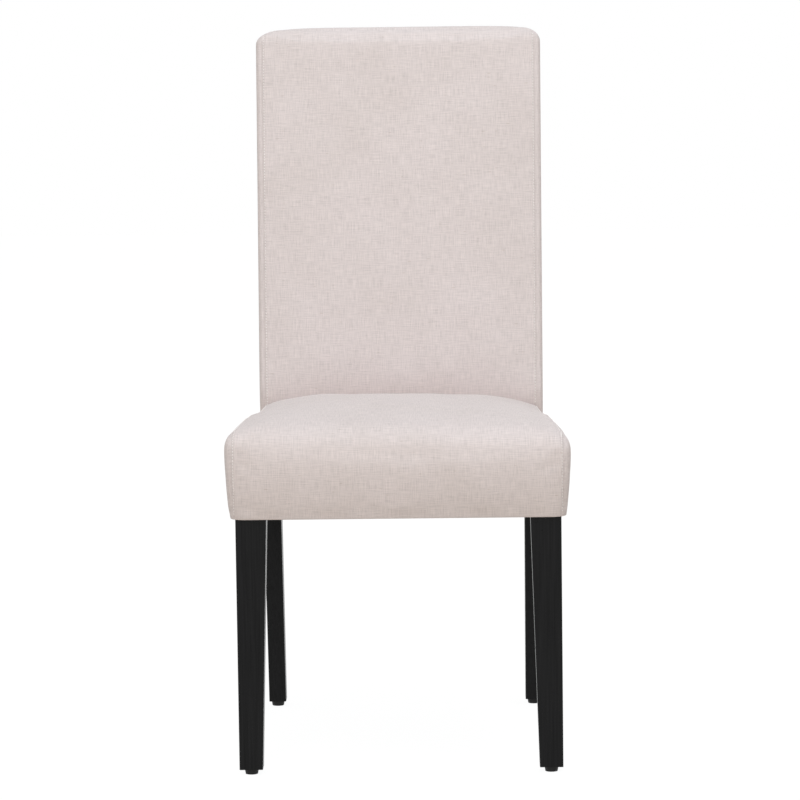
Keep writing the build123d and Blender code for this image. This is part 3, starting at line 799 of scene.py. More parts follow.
@dataclass
class SeatCushion:
    """Crowned seat pad under its cover, open below for the box frame."""

    lines: PostLines
    corner_half: float = 0.236
    taper: float = 0.0672
    front: float = -0.2875
    rear: float = 0.1416
    foot: float = 0.3538
    bulge: float = 0.449
    crown: float = 0.490
    draw_in: float = 0.006
    roll: float = 0.190
    edge_radius: float = 0.027
    tilt: float = 0.0128
    rear_fall: float = 0.018
    fall_reach: float = 0.045
    fall_start: float = -0.16
    fall_run: float = 0.24
    settle_gap: float = 0.02
    settle_run: float = 0.07
    front_bow: float = 0.005
    bow_top: float = 0.466
    bow_reach: float = 0.05
    corner_radius: float = 0.022
    hip_growth: float = 0.08
    foot_radius: float = 0.003
    cavity: float = 0.0125
    cavity_radius: float = 0.003
    lip_radius: float = 0.014
    lip_slope: float = 0.005
    lip_share: float = 0.08
    hem_share: float = 0.14
    return_share: float = 0.17
    turn_share: float = 0.24
    rise_share: float = 0.27
    wall_share: float = 0.42
    deck_share: float = 0.46
    deck_radius: float = 0.003
    hem: float = 0.026
    hem_thickness: float = 0.0013
    leg_inner: float = 0.172
    leg_rear: float = -0.226
    notch_gap: float = 0.0006
    notch_ease: float = 0.008
    joint: float = 0.1296
    press_gap: float = 0.0004
    seam: float = 0.010
    seam_hold: float = 0.5
    hold_reach: float = 0.003
    foot_hold: float = 0.012
    rings: int = 52
    flat_rings: int = 5
    even_share: float = 0.6
    arc_steps: int = 60
    wall_steps: int = 40
    slack: float = 0.0008
    slack_ease: float = 0.02
    panel_blend: float = 0.05
    swelling: Swelling = Swelling(reach=0.0022, stiffness=18.0)
    sewing: Seam = Seam(depth=0.0016, width=0.0023, roll_height=0.0006)
    top_share: float = 0.5
    top_start: float = 0.03
    top_ease: float = 0.05
    ripple: Ripple = Ripple(
        height=0.0005,
        crossing=(47.0, 39.0),
        crossing_start=(1.3, 0.4),
        slant=(83.0, 61.0),
        counter=(97.0, 31.0),
        counter_start=2.0,
    )
    hem_flat: float = 0.004
    hem_ease: float = 0.012
    contact_gap: float = 0.002
    front_wave: float = 0.0007
    front_turns: float = 70.0
    front_phase: float = 0.8
    front_zone: float = -0.2
    front_ease: float = 0.05
    front_fade: float = 0.04
    stitch_foot: float = 0.008
    stitch_roll: Pair = (0.006, 0.012)
    stitch_end: float = 0.016
    rays_up: int = 300
    rays_back: int = 600

    @property
    def middle(self) -> float:
        """Depth of the cushion's middle."""
        return (self.front + self.rear) / 2

    @property
    def half_depth(self) -> float:
        """Half of the cushion's depth."""
        return (self.rear - self.front) / 2

    def side(self, depth: Array) -> Array:
        """Half-width of the widest outline at a depth."""
        return self.corner_half - self.taper * (depth - self.front)

    def profile(self) -> Array:
        """Inset and height from the crown's rim to the foot.

        A flat arc falls from the crown and meets the edge arc with a common tangent. The edge arc ends
        upright at the bulge, where the wall arc is drawn in to the foot.

        Returns:
            Rows of inset and height.
        """
        rise = self.crown - self.bulge
        span = self.roll - self.edge_radius
        flat = (rise**2 + span**2 - self.edge_radius**2) / (2 * (rise - self.edge_radius))
        lean = np.arcsin(span / (flat - self.edge_radius))
        drop = self.bulge - self.foot
        wall = (drop**2 + self.draw_in**2) / (2 * self.draw_in)
        turned, steps = np.pi / 2 + lean, self.arc_steps
        crown_arc = arc((self.roll, self.crown - flat), flat, np.pi / 2, turned, steps)
        edge_arc = arc((self.edge_radius, self.bulge), self.edge_radius, turned, np.pi, steps)
        wall_arc = arc((wall, self.bulge), wall, np.pi, np.pi + np.arcsin(drop / wall), self.wall_steps)
        return np.concatenate([crown_arc, edge_arc[1:], wall_arc[1:]])

    def outer_radius(self, inset: Array) -> Array:
        """Corner radius of an outer ring, which grows with its inset."""
        return self.corner_radius + self.hip_growth * inset

    def section(self, unit: Array, inset: Array, radius: Array, scale: Array) -> tuple[Array, Array]:
        """Plan places on rings: rounded outlines, inset from the widest one and narrowed to the back.

        Args:
            unit: places on the unit square, a row across and a row along.
            inset: distance inside the widest outline.
            radius: corner radius.
            scale: share of the outline's size.

        Returns:
            Places across and along in the chair's frame.
        """
        half = self.side(self.middle) - inset
        x, y = round_ring(*unit, half, self.half_depth - inset, radius)
        y = self.middle + y * scale
        return x * scale * (self.side(y) - inset) / half, y

    def lower(self, x: Array, y: Array, z: Array, inset: Array) -> Array:
        """Heights of the pad with its small tilt, and with a softer edge towards the back.

        The edge falls by a decaying exponential of the inset, eased in along the depth. Both changes die
        out towards the foot.

        Args:
            x: places across.
            y: places along.
            z: heights of the even pad.
            inset: distance inside the widest outline.

        Returns:
            The changed heights.
        """
        along = smooth_step((y - self.fall_start) / self.fall_run)
        fall = self.rear_fall * np.exp(-inset / self.fall_reach) * along
        settle = smooth_step((z - self.foot - self.settle_gap) / self.settle_run)
        return z - settle * (self.tilt * x + fall)

    def bowed(self, y: Array, z: Array) -> Array:
        """Depths with the front panel bowed forward: a parabola over its height, eased out behind it."""
        middle = (self.bow_top + self.foot) / 2
        bow = np.clip(1 - ((z - middle) / (self.bow_top - middle)) ** 2, 0.0, 1.0)
        return y - self.front_bow * bow * smooth_step((self.front + self.bow_reach - y) / self.bow_reach)

    def underside(self, near_leg: Array, level: Array) -> tuple[Array, Array]:
        """Inset and height below the cushion: foot, hem, its return, the inner wall and the deck.

        Stops along the level are joined by straight lines.

        Args:
            near_leg: 1 where the hem is notched for a leg, else 0.
            level: place from the outer ring, 0, to the middle, 1.

        Returns:
            Insets and heights.
        """
        hem = self.hem + (self.cavity + self.notch_gap - self.hem) * near_leg
        foot = np.full_like(hem, self.draw_in)
        wall = np.full_like(hem, self.cavity)
        rim = wall + self.deck_radius
        upper = self.foot + self.hem_thickness
        deck = self.lines.deck
        table = [
            (0.0, foot, self.foot),
            (self.lip_share, foot + self.foot_radius, self.foot),
            (self.hem_share, hem, self.foot),
            (self.return_share, hem, upper),
            (self.turn_share, wall, upper),
            (self.rise_share, wall, upper + self.hem_thickness),
            (self.wall_share, wall, deck - self.deck_radius),
            (self.deck_share, rim, deck),
            (1.0, rim, deck),
        ]
        stops, insets, heights = (np.array(column) for column in zip(*table))
        place = np.clip(np.searchsorted(stops, level, side="right") - 1, 0, len(stops) - 2)
        share = (level - stops[place]) / (stops[place + 1] - stops[place])
        column = np.arange(len(level))
        inset = insets[place, column] * (1 - share) + insets[place + 1, column] * share
        return inset, heights[place] * (1 - share) + heights[place + 1] * share

    def build_mesh(self) -> tuple[bpy.types.Object, Array]:
        """Make the cushion from two grids of square rings that share their outer ring.

        Ring k holds the grid points whose larger step from the middle is k, so that a profile with one
        entry to the ring is carried round the whole cushion.

        Returns:
            The piece, and how firmly each point is held while it swells.
        """
        axis = np.arange(-self.rings, self.rings + 1)
        along, across = (table.ravel() for table in np.meshgrid(axis, axis, indexing="ij"))
        ring = np.maximum(np.abs(across), np.abs(along))
        unit = crowd(np.stack([across, along]) / np.maximum(ring, 1), self.even_share)

        profile = resample(self.profile(), self.rings - self.flat_rings + 1)
        level = np.maximum(ring - self.flat_rings, 0)
        inset = profile[level, 0] + self.slack * (1 - level / level.max())
        even = profile[level, 1]
        x, y = self.section(unit, inset, self.outer_radius(inset), np.minimum(ring / self.flat_rings, 1.0))
        z = even - self.slack * np.clip((even - self.bulge) / self.slack_ease, 0, 1)
        z = self.lower(x, y, z, inset)
        pressed = self.lines.face(z) - self.press_gap
        crown = np.stack([x, np.minimum(self.bowed(y, z), pressed), z], axis=1)

        inner = ring < self.rings
        depth = 1 - ring[inner] / self.rings
        rim_inset = np.full(inner.sum(), self.cavity)
        rim_x, rim_y = self.section(unit[:, inner], rim_inset, self.cavity_radius, 1.0)
        near_leg = smooth_step((np.abs(rim_x) - self.leg_inner) / self.notch_ease)
        near_leg *= smooth_step((self.leg_rear - rim_y) / self.notch_ease)
        base_inset, base_z = self.underside(near_leg, depth)
        shrink = np.minimum((1 - depth) / (1 - self.deck_share), 1.0)
        radii = [self.outer_radius(self.draw_in), self.lip_radius, self.cavity_radius]
        base_radius = np.interp(depth, [0.0, self.lip_share, self.hem_share], radii)
        base_x, base_y = self.section(unit[:, inner], base_inset, base_radius, shrink)
        rear_limit = self.joint - self.lip_slope * np.minimum(depth, self.lip_share)
        base = np.stack([base_x, np.minimum(base_y, rear_limit), base_z], axis=1)

        side = len(axis)
        crown_index = np.arange(side * side).reshape(side, side)
        base_index = crown_index.copy()
        base_index[1:-1, 1:-1] = len(crown) + np.arange((side - 2) ** 2).reshape(side - 2, side - 2)
        points = np.concatenate([crown, base])
        faces = np.concatenate([grid_faces(crown_index), grid_faces(base_index)[:, ::-1]])
        grid = CrownGrid(across, along, x, y, run_lengths(profile)[level], even < self.bulge)
        piece = make_piece("seat_cushion", points, faces, self.weave(grid, points, faces))
        outer = piece.data.attributes.new("outer", "FLOAT", "POINT")
        outer.data.foreach_set("value", (np.arange(len(points)) < len(crown)).astype(np.float32))

        seam_gap = np.abs(np.abs(crown[:, 0]) - self.side(crown[:, 1]) + self.seam)
        held = np.ones(len(points))
        held[: len(crown)] = np.where(seam_gap < self.hold_reach, self.seam_hold, 0.0)
        held[: len(crown)][(y > pressed) | (crown[:, 2] < self.foot + self.foot_hold)] = 1.0
        return piece, held

    def weave(self, grid: CrownGrid, points: Array, faces: Array) -> Array:
        """Cloth coordinates of each face corner.

        On the middle panel they are the place across and the run of cloth from the crown over the roll and
        down the front. On a side panel the run goes down the side, and the place along stays.

        Args:
            grid: upper grid of the cushion.
            points: places of all points, those of the upper grid first.
            faces: all quads, those of the upper grid first.

        Returns:
            Two numbers for each face corner.
        """
        to_front = self.front + self.roll - grid.run
        forward = np.where(grid.along < 0, to_front, self.rear - self.roll + grid.run)
        outward = np.sign(grid.across) * (self.corner_half - self.roll + grid.run)
        blend = smooth_step((np.abs(grid.x) - self.corner_half + self.panel_blend) / self.panel_blend)
        by_front = np.stack([grid.x, np.where(grid.run > 0, forward, grid.y)], axis=1)
        over_roll = np.where(grid.on_wall, outward, grid.x * (1 - blend) + outward * blend)
        by_side = np.stack([over_roll, grid.y], axis=1)
        below = points[len(grid.x) :, :2]
        front_table = np.concatenate([by_front, below])
        side_table = np.concatenate([by_side, below])
        upper = (faces < len(grid.x)).all(axis=1)
        steps = np.minimum(faces, len(grid.x) - 1)
        on_side = np.abs(grid.across[steps].mean(1)) > np.abs(grid.along[steps].mean(1))
        return np.where((upper & on_side)[:, None, None], side_table[faces], front_table[faces])

    def sew(self, piece: bpy.types.Object) -> None:
        """Draw in the two side seams, shallower on the top, and let the outer cloth ripple a little.

        Low upright waves are added to the ripple on the front panel, below the bulge.

        Args:
            piece: the cushion.
        """
        points = read_points(piece.data)
        outer = np.empty(len(points), np.float32)
        piece.data.attributes["outer"].data.foreach_get("value", outer)
        piece.data.attributes.remove(piece.data.attributes["outer"])
        x, y, z = points.T
        showing = smooth_step((z - self.foot - self.hem_flat) / self.hem_ease) * (outer > 0.5)
        showing *= y < self.lines.face(z) - self.contact_gap
        gap = np.abs(x) - self.side(y) + self.seam
        on_top = smooth_step((y - self.front - self.top_start) / self.top_ease)
        groove = self.sewing.groove(gap) * (1 - self.top_share * on_top) * self.sewing.pucker(y - z)
        frontage = smooth_step((self.front_zone - y) / self.front_ease)
        frontage *= smooth_step((self.bulge - z) / self.front_fade)
        waves = self.front_wave * np.sin(x * self.front_turns + self.front_phase) * frontage
        shift = (groove + self.sewing.rolls(gap) + self.ripple.rise(x, y, z) + waves) * showing
        write_points(piece.data, points + read_normals(piece.data) * shift[:, None])

    def build(self) -> bpy.types.Object:
        """Make, swell, refine and sew the cushion."""
        piece, held = self.build_mesh()
        self.swelling.run(piece, held)
        refine(piece)
        self.sew(piece)
        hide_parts("seat_foam", "seat_cover_top", "seat_cover_side_left", "seat_cover_side_right")
        return piece

    def stitch_line(self, hand: Hand, offset: float) -> tuple[Array, Array]:
        """Row of topstitching beside a side seam: up the front, over the roll and back along the side.

        Args:
            hand: side of the chair.
            offset: distance of the row inside the seam.

        Returns:
            Places outside the cushion, and the directions in which its surface is looked for.
        """
        inset = self.seam + offset
        upper = self.profile()[::-1]
        top = float(np.interp(inset, *upper[upper[:, 1] >= self.bulge].T))
        below, behind = self.stitch_roll
        heights = np.linspace(self.foot + self.stitch_foot, top - below, self.rays_up)
        depths = np.linspace(self.front + behind, self.joint - self.stitch_end, self.rays_back)
        rising = np.stack([np.full_like(heights, self.front - STAND_OFF), heights], axis=1)
        going_back = np.stack([depths, np.full_like(depths, self.crown + STAND_OFF)], axis=1)
        line = np.concatenate([rising, going_back])
        aim = np.repeat([[0.0, 1.0, 0.0], [0.0, 0.0, -1.0]], [self.rays_up, self.rays_back], axis=0)
        x = hand.value * (self.side(np.maximum(line[:, 0], self.front)) - inset)
        return np.stack([x, line[:, 0], line[:, 1]], axis=1), aim


@dataclass
class BackCushion:
    """Reclined back: crowned front pad, boxed sides, rear panel and rounded top, hollow for its frame."""

    lines: PostLines
    foot: float = 0.3538
    top: float = 1.0
    foot_half: float = 0.2043
    top_half: float = 0.2075
    top_corner_left: float = 0.038
    top_corner_right: float = 0.027
    top_roll: float = 0.0185
    top_edge: float = 0.010
    edge_power: float = 1.5
    edge_radius: float = 0.009
    low_radius: float = 0.004
    rear_radius: float = 0.006
    crown: float = 0.005
    rear_crown: float = 0.0015
    cavity_half: float = 0.2028
    cavity_front: float = 0.0024
    cavity_rear: float = 0.0037
    cavity_top: float = 0.9872
    cavity_edge: float = 0.002
    low_gap: float = 0.0006
    crown_start: float = 0.03
    crown_ease: float = 0.09
    front_limit: float = 0.18
    front_ease: float = 0.6
    rear_limit: float = 0.6
    seam: float = 0.007
    seam_hold: float = 0.5
    hold_reach: float = 0.003
    across: int = 80
    even_share: float = 0.55
    depth: int = 14
    rows: int = 96
    held_rows: int = 12
    held_side: float = 0.95
    roll_rows: int = 10
    low_rows: int = 3
    inner_rows: int = 8
    slack: float = 0.0008
    side_place: Pair = (0.6, 0.3)
    rear_place: float = 1.7
    swelling: Swelling = Swelling(reach=0.003)
    sewing: Seam = Seam(depth=0.0015, width=0.0022, roll_height=0.0005, beat=0.047)
    rear_sewing: Seam = Seam(depth=0.0010, width=0.0018)
    rear_seam: float = 0.004
    seam_end: float = 0.004
    seam_ease: float = 0.012
    ripple: Ripple = Ripple(
        height=0.00045,
        crossing=(38.0, 27.0),
        crossing_start=(0.6, 1.1),
        slant=(71.0, 43.0),
        counter=(88.0, -29.0),
        counter_start=2.2,
    )
    ripple_facing: float = 0.5
    skin_sides: float = 0.0004
    skin_top: float = 0.003
    skin_front: float = 0.004
    skin_rear: float = 0.006
    skin_foot: float = 0.004
    upward_start: float = 0.35
    forward_start: float = -0.1
    facing_ease: float = 0.3
    stitch_foot: float = 0.462
    stitch_top: float = 0.010
    rays: int = 900

    def half(self, height: Array) -> Array:
        """Half-width of the body at a height."""
        share = (height - self.foot) / (self.top - self.foot)
        return self.foot_half + (self.top_half - self.foot_half) * share

    def loop(self) -> tuple[Array, Array]:
        """Unit square round which a section runs: front, right side, rear, left side.

        Returns:
            Places across and places along.
        """
        wide = crowd(np.linspace(-1.0, 1.0, self.across + 1), self.even_share)
        deep = np.linspace(-1.0, 1.0, self.depth + 1)
        across = np.concatenate([wide[:-1], np.ones(self.depth), wide[:0:-1], -np.ones(self.depth)])
        along = np.concatenate([-np.ones(self.across), deep[:-1], np.ones(self.across), deep[:0:-1]])
        return across, along

    def levels(self) -> tuple[Array, Array]:
        """Rows of the outer tube: even steps to the shoulder, then even angles over the top.

        Returns:
            Heights, and how far each row has turned over the top, from 0 to 1.
        """
        body = np.linspace(self.foot, self.lines.shoulder, self.rows + 1)[:-1]
        angles = np.linspace(0.0, np.pi / 2, self.roll_rows + 1)
        heights = np.concatenate([body, self.lines.shoulder + self.top_roll * np.sin(angles)])
        turns = np.concatenate([np.zeros(len(body)), 1 - np.cos(angles)])
        return heights, turns

    def outer(self) -> Array:
        """Outer sections, row by row: rounded rectangles with a crowned front, narrowed over the top.

        Returns:
            A table of places by row and by step round the section.
        """
        unit_across, unit_along = self.loop()
        heights, turns = self.levels()
        shape = (len(heights), len(unit_across))
        across = np.broadcast_to(unit_across, shape)
        along = np.broadcast_to(unit_along, shape)
        z = np.broadcast_to(heights[:, None], shape)
        turn = np.broadcast_to(turns[:, None], shape)
        swell = self.lines.swell(z)
        corner = np.where(across < 0, self.top_corner_left, self.top_corner_right)
        half = self.half(z) - corner * turn
        edge = self.top_edge * turn**self.edge_power
        front = self.lines.face(z) + edge + self.slack * swell
        rear = self.lines.back(z) - edge
        half_depth = (rear - front) / 2
        front_radius = self.low_radius + (self.edge_radius - self.low_radius) * swell
        radius = np.where(along < 0, front_radius, self.rear_radius)
        x, y = round_ring(across, along, half, half_depth, radius)
        bow = np.clip(1 - (x / half) ** 2, 0.0, 1.0)
        high = smooth_step((z - self.lines.deck - self.crown_start) / self.crown_ease)
        place = y / half_depth
        ahead = self.crown * bow * high * smooth_step((self.front_limit - place) / self.front_ease)
        to_rear = smooth_step((place - self.rear_limit) / (1 - self.rear_limit))
        behind = self.rear_crown * bow * (1 - turn) * to_rear
        return np.stack([x, (front + rear) / 2 + y - ahead + behind, z], axis=-1)

    def inner(self) -> Array:
        """Inner sections, row by row, that clear the posts, the webbing and the board.

        Returns:
            A table of places by row and by step round the section.
        """
        across, along = self.loop()
        edge, top, knee = self.cavity_edge, self.cavity_top, self.lines.knee
        low = np.linspace(self.foot, knee, self.low_rows + 1)[:-1]
        body = np.linspace(knee, top - 3 * edge, self.inner_rows)
        heights = np.concatenate([low, body, [top - edge, top]])
        z = np.repeat(heights[:, None], len(across), axis=1)
        front = self.lines.front(z) - np.where(z > self.lines.deck, self.cavity_front, self.low_gap)
        rear = self.lines.straight_rear(z) + self.cavity_rear
        x = np.broadcast_to(across, z.shape) * self.cavity_half
        y = (front + rear) / 2 + np.broadcast_to(along, z.shape) * (rear - front) / 2
        return np.stack([x, y, z], axis=-1)

    def cap(self, rim: Array, start: int, edge: Array) -> tuple[Array, Array]:
        """Close a tube's end with a grid between its front and rear runs.

        Inner points lie on straight lines from the front run to the rear run.

        Args:
            rim: point numbers of the end section.
            start: number of the first new point.
            edge: places of the end section.

        Returns:
            New places, and the table of point numbers of the grid.
        """
        wide, deep = self.across, self.depth
        columns = np.arange(wide + 1)
        front = columns
        rear = wide + deep + (wide - columns)
        shares = np.linspace(0.0, 1.0, deep + 1)[1:-1, None, None]
        inner = (edge[front] * (1 - shares) + edge[rear] * shares)[:, 1:-1]
        table = np.empty((deep + 1, wide + 1), int)
        table[0] = rim[front]
        table[-1] = rim[rear]
        table[:, -1] = rim[wide + np.arange(deep + 1)]
        table[:, 0] = rim[-np.arange(deep + 1) % len(rim)]
        table[1:-1, 1:-1] = start + np.arange(inner.shape[0] * inner.shape[1]).reshape(inner.shape[:2])
        return inner.reshape(-1, 3), table

    def build_mesh(self) -> tuple[bpy.types.Object, Array]:
        """Make the hollow back: an outer and an inner tube, capped at the top and joined at the foot.

        Returns:
            The piece, and how firmly each point is held while it swells.
        """
        outer, inner = self.outer(), self.inner()
        around = outer.shape[1]
        outer_index = np.arange(outer.shape[0] * around).reshape(-1, around)
        inner_index = outer_index.size + np.arange(inner.shape[0] * around).reshape(-1, around)
        start = outer_index.size + inner_index.size
        top_points, top_table = self.cap(outer_index[-1], start, outer[-1])
        deck_points, deck_table = self.cap(inner_index[-1], start + len(top_points), inner[-1])
        points = np.concatenate([outer.reshape(-1, 3), inner.reshape(-1, 3), top_points, deck_points])
        outer_faces = tube_faces(outer_index)
        top_faces = grid_faces(top_table)
        faces = np.concatenate(
            [
                outer_faces,
                top_faces,
                tube_faces(inner_index)[:, ::-1],
                grid_faces(deck_table)[:, ::-1],
                tube_faces(np.stack([inner_index[0], outer_index[0]])),
            ]
        )
        weave = self.weave(points, faces, len(outer_faces), len(top_faces))
        piece = make_piece("back_cushion", points, faces, weave)
        held = np.ones(len(points))
        held[outer_index[self.held_rows :].ravel()] = 0.0
        held[outer_index[:, np.abs(self.loop()[1]) < self.held_side].ravel()] = 1.0
        held[start : start + len(top_points)] = 0.0
        seam_gap = np.abs(np.abs(points[:, 0]) - self.half(points[:, 2]) + self.seam)
        on_front = points[:, 1] < (self.lines.face(points[:, 2]) + self.lines.back(points[:, 2])) / 2
        at_seam = (seam_gap < self.hold_reach) & on_front
        return piece, np.maximum(held, np.where(at_seam, self.seam_hold, 0.0))

    def weave(self, points: Array, faces: Array, tube: int, cap: int) -> Array:
        """Cloth coordinates of each face corner: across the panel and up its run of cloth.

        Args:
            points: places of all points.
            faces: all quads.
            tube: number of outer quads, which come first.
            cap: number of quads on the top, which come next.

        Returns:
            Two numbers for each face corner.
        """
        column = np.arange(tube) % (2 * (self.across + self.depth))
        panel = np.full(len(faces), Panel.REAR.value)
        ends = np.cumsum([self.across, self.depth, self.across])
        panel[:tube] = np.select(
            [column < end for end in ends],
            [Panel.MIDDLE.value, Panel.SIDE.value, Panel.REAR.value],
            Panel.SIDE.value,
        )
        panel[tube : tube + cap] = Panel.TOP.value
        slope = float(np.hypot(1.0, self.lines.recline))
        x, y, z = points[faces].transpose(2, 0, 1)
        rise = z * slope
        place, shift = self.side_place
        choices = {
            Panel.MIDDLE: (x, rise),
            Panel.SIDE: (y + place + shift * np.sign(x), rise),
            Panel.REAR: (self.rear_place - x, rise),
            Panel.TOP: (x, self.top * slope + y - self.lines.face(np.array(self.top))),
        }
        chosen = panel[:, None]
        on_panel = [chosen == key.value for key in choices]
        return np.stack([np.select(on_panel, values) for values in zip(*choices.values())], axis=-1)

    def sew(self, piece: bpy.types.Object) -> None:
        """Draw in the side seams and the rear edge seams, with puckers and a faint ripple.

        Args:
            piece: the cushion.
        """
        points = read_points(piece.data)
        normals = read_normals(piece.data)
        x, y, z = points.T
        half = self.half(z)
        outside = (np.abs(x) > self.cavity_half + self.skin_sides) | (z > self.cavity_top + self.skin_top)
        outside |= y < self.lines.front(z) - self.skin_front
        outside |= y > self.lines.rear(z) + self.skin_rear
        outside &= z > self.foot + self.skin_foot
        ease = self.facing_ease
        upward = smooth_step((normals[:, 2] - self.upward_start) / ease) * (normals[:, 1] < ease)
        forward = smooth_step((-normals[:, 1] - self.forward_start) / ease)
        below_top = 1 - smooth_step((z - self.lines.shoulder + self.seam_end) / self.seam_ease)
        sewn = np.clip(forward + upward, 0.0, 1.0) * below_top
        gap = np.abs(x) - half + self.seam
        pucker = self.sewing.pucker(z)
        seams = (self.sewing.groove(gap) * pucker + self.sewing.rolls(gap)) * sewn
        rear_gap = self.lines.back(z) - y - self.rear_seam
        seams += self.rear_sewing.groove(rear_gap) * (np.abs(x) > half - self.rear_seam) * pucker
        waves = self.ripple.rise(x, z, z) * (np.abs(normals[:, 1]) > self.ripple_facing)
        shift = (seams + waves) * outside
        write_points(piece.data, points + normals * shift[:, None])

    def build(self) -> bpy.types.Object:
        """Make, swell, refine and sew the cushion."""
        piece, held = self.build_mesh()
        self.swelling.run(piece, held)
        refine(piece)
        self.sew(piece)
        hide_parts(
            "back_foam",
            "back_rear_padding",
            "back_cover_front",
            "back_cover_rear",
            "back_cover_side_left",
            "back_cover_side_right",
        )
        return piece

    def stitch_line(self, hand: Hand, offset: float) -> tuple[Array, Array]:
        """Row of topstitching beside a front seam, from behind the seat up to the top edge.

        Args:
            hand: side of the chair.
            offset: distance of the row inside the seam.

        Returns:
            Places in front of the cushion, and the directions in which its surface is looked for.
        """
        z = np.linspace(self.stitch_foot, self.lines.shoulder + self.stitch_top, self.rays)
        x = hand.value * (self.half(z) - self.seam - offset)
        y = self.lines.face(z) - STAND_OFF
        return np.stack([x, y, z], axis=1), np.tile([0.0, 1.0, 0.0], (self.rays, 1))


@dataclass(frozen=True)
class Stitching:
    """Rows of short thread bars that lie on a cushion and dip into it at both ends."""

    pitch: float = 0.0041
    length: float = 0.0029
    width: float = 0.0013
    height: float = 0.0010
    offset: float = 0.0040
    slant: float = 0.12
    tip: float = 0.02
    lift: float = 0.45
    dip: float = 0.7
    steps: int = 7
    sides: int = 6

    def lay(self, name: str, carrier: bpy.types.Object, line: tuple[Array, Array]) -> bpy.types.Object:
        """Lay one row of stitches where rays from a line meet the piece that carries it.

        A stitch is a tube round its own axis whose half-thickness follows the square root of one less the
        square of the place along it, flattened to the cloth and turned a few degrees across the row.

        Args:
            name: name of the piece.
            carrier: piece that carries the row.
            line: places outside the carrier, and directions towards it.

        Returns:
            The row as one piece.
        """
        hits = [carrier.ray_cast(Vector(start), Vector(aim)) for start, aim in zip(*line)]
        met = np.array([[*place, *facing] for found, place, facing, _ in hits if found])
        spot = resample(met, int(run_lengths(met[:, :3])[-1] / self.pitch))
        centre = spot[:, :3]
        normal = spot[:, 3:] / np.linalg.norm(spot[:, 3:], axis=1, keepdims=True)
        tangent = np.gradient(centre, axis=0)
        tangent -= normal * (tangent * normal).sum(1, keepdims=True)
        tangent /= np.linalg.norm(tangent, axis=1, keepdims=True)
        binormal = np.cross(normal, tangent)
        tangent = tangent + self.slant * binormal
        place = np.sin(np.linspace(-np.pi / 2, np.pi / 2, self.steps))[:, None]
        turn = np.linspace(0.0, 2 * np.pi, self.sides, endpoint=False)[None, :]
        thick = np.sqrt(np.clip(1 - place**2, self.tip, 1.0))
        along = place * self.length / 2 + 0 * turn
        side = thick * np.cos(turn) * self.width / 2
        rise = self.height * (thick * np.sin(turn) / 2 + self.lift - self.dip * place**4)
        parts = zip((along, side, rise), (tangent, binormal, normal))
        points = centre[:, None] + sum(table.reshape(1, -1, 1) * axis[:, None] for table, axis in parts)
        return make_piece(name, points.reshape(-1, 3), bar_faces(self.steps, self.sides, len(centre)))


@dataclass(frozen=True)
class Straps:
    """Flat webbing straps with rounded edges, laid along given centre lines."""

    width: float = 0.050
    thickness: float = 0.0018
    sides: int = 16
    flat_power: float = 0.35
    edge_power: float = 0.7

    def lay(self, name: str, lines: list[Array], up: Point) -> bpy.types.Object:
        """Carry a flat rounded section along each line.

        The section is a superellipse: cosine and sine with powers that flatten it to a strap.

        Args:
            name: name of the piece.
            lines: centre lines, each with one row to the place.
            up: direction that the straps face.

        Returns:
            All straps as one piece.
        """
        turn = np.linspace(0.0, 2 * np.pi, self.sides, endpoint=False) + np.pi / self.sides
        cosine, sine = np.cos(turn), np.sin(turn)
        flat = np.copysign(np.abs(cosine) ** self.flat_power, cosine) * self.width / 2
        thick = np.copysign(np.abs(sine) ** self.edge_power, sine) * self.thickness / 2
        paths = np.stack(lines)
        tangent = np.gradient(paths, axis=1)
        tangent /= np.linalg.norm(tangent, axis=2, keepdims=True)
        across = np.cross(np.array(up), tangent)
        across /= np.linalg.norm(across, axis=2, keepdims=True)
        normal = np.cross(tangent, across)
        section = flat[:, None] * across[:, :, None] + thick[:, None] * normal[:, :, None]
        points = paths[:, :, None] + section
        count, length = paths.shape[:2]
        faces = bar_faces(length, self.sides, count)
        run = np.linalg.norm(np.diff(paths, axis=1, prepend=paths[:, :1]), axis=2).cumsum(axis=1)
        share = np.broadcast_to(flat / self.width + 0.5, points.shape[:3])
        weave = np.stack([share, np.broadcast_to(run[:, :, None], share.shape)], axis=-1).reshape(-1, 2)
        return make_piece(name, points.reshape(-1, 3), faces, weave[faces])


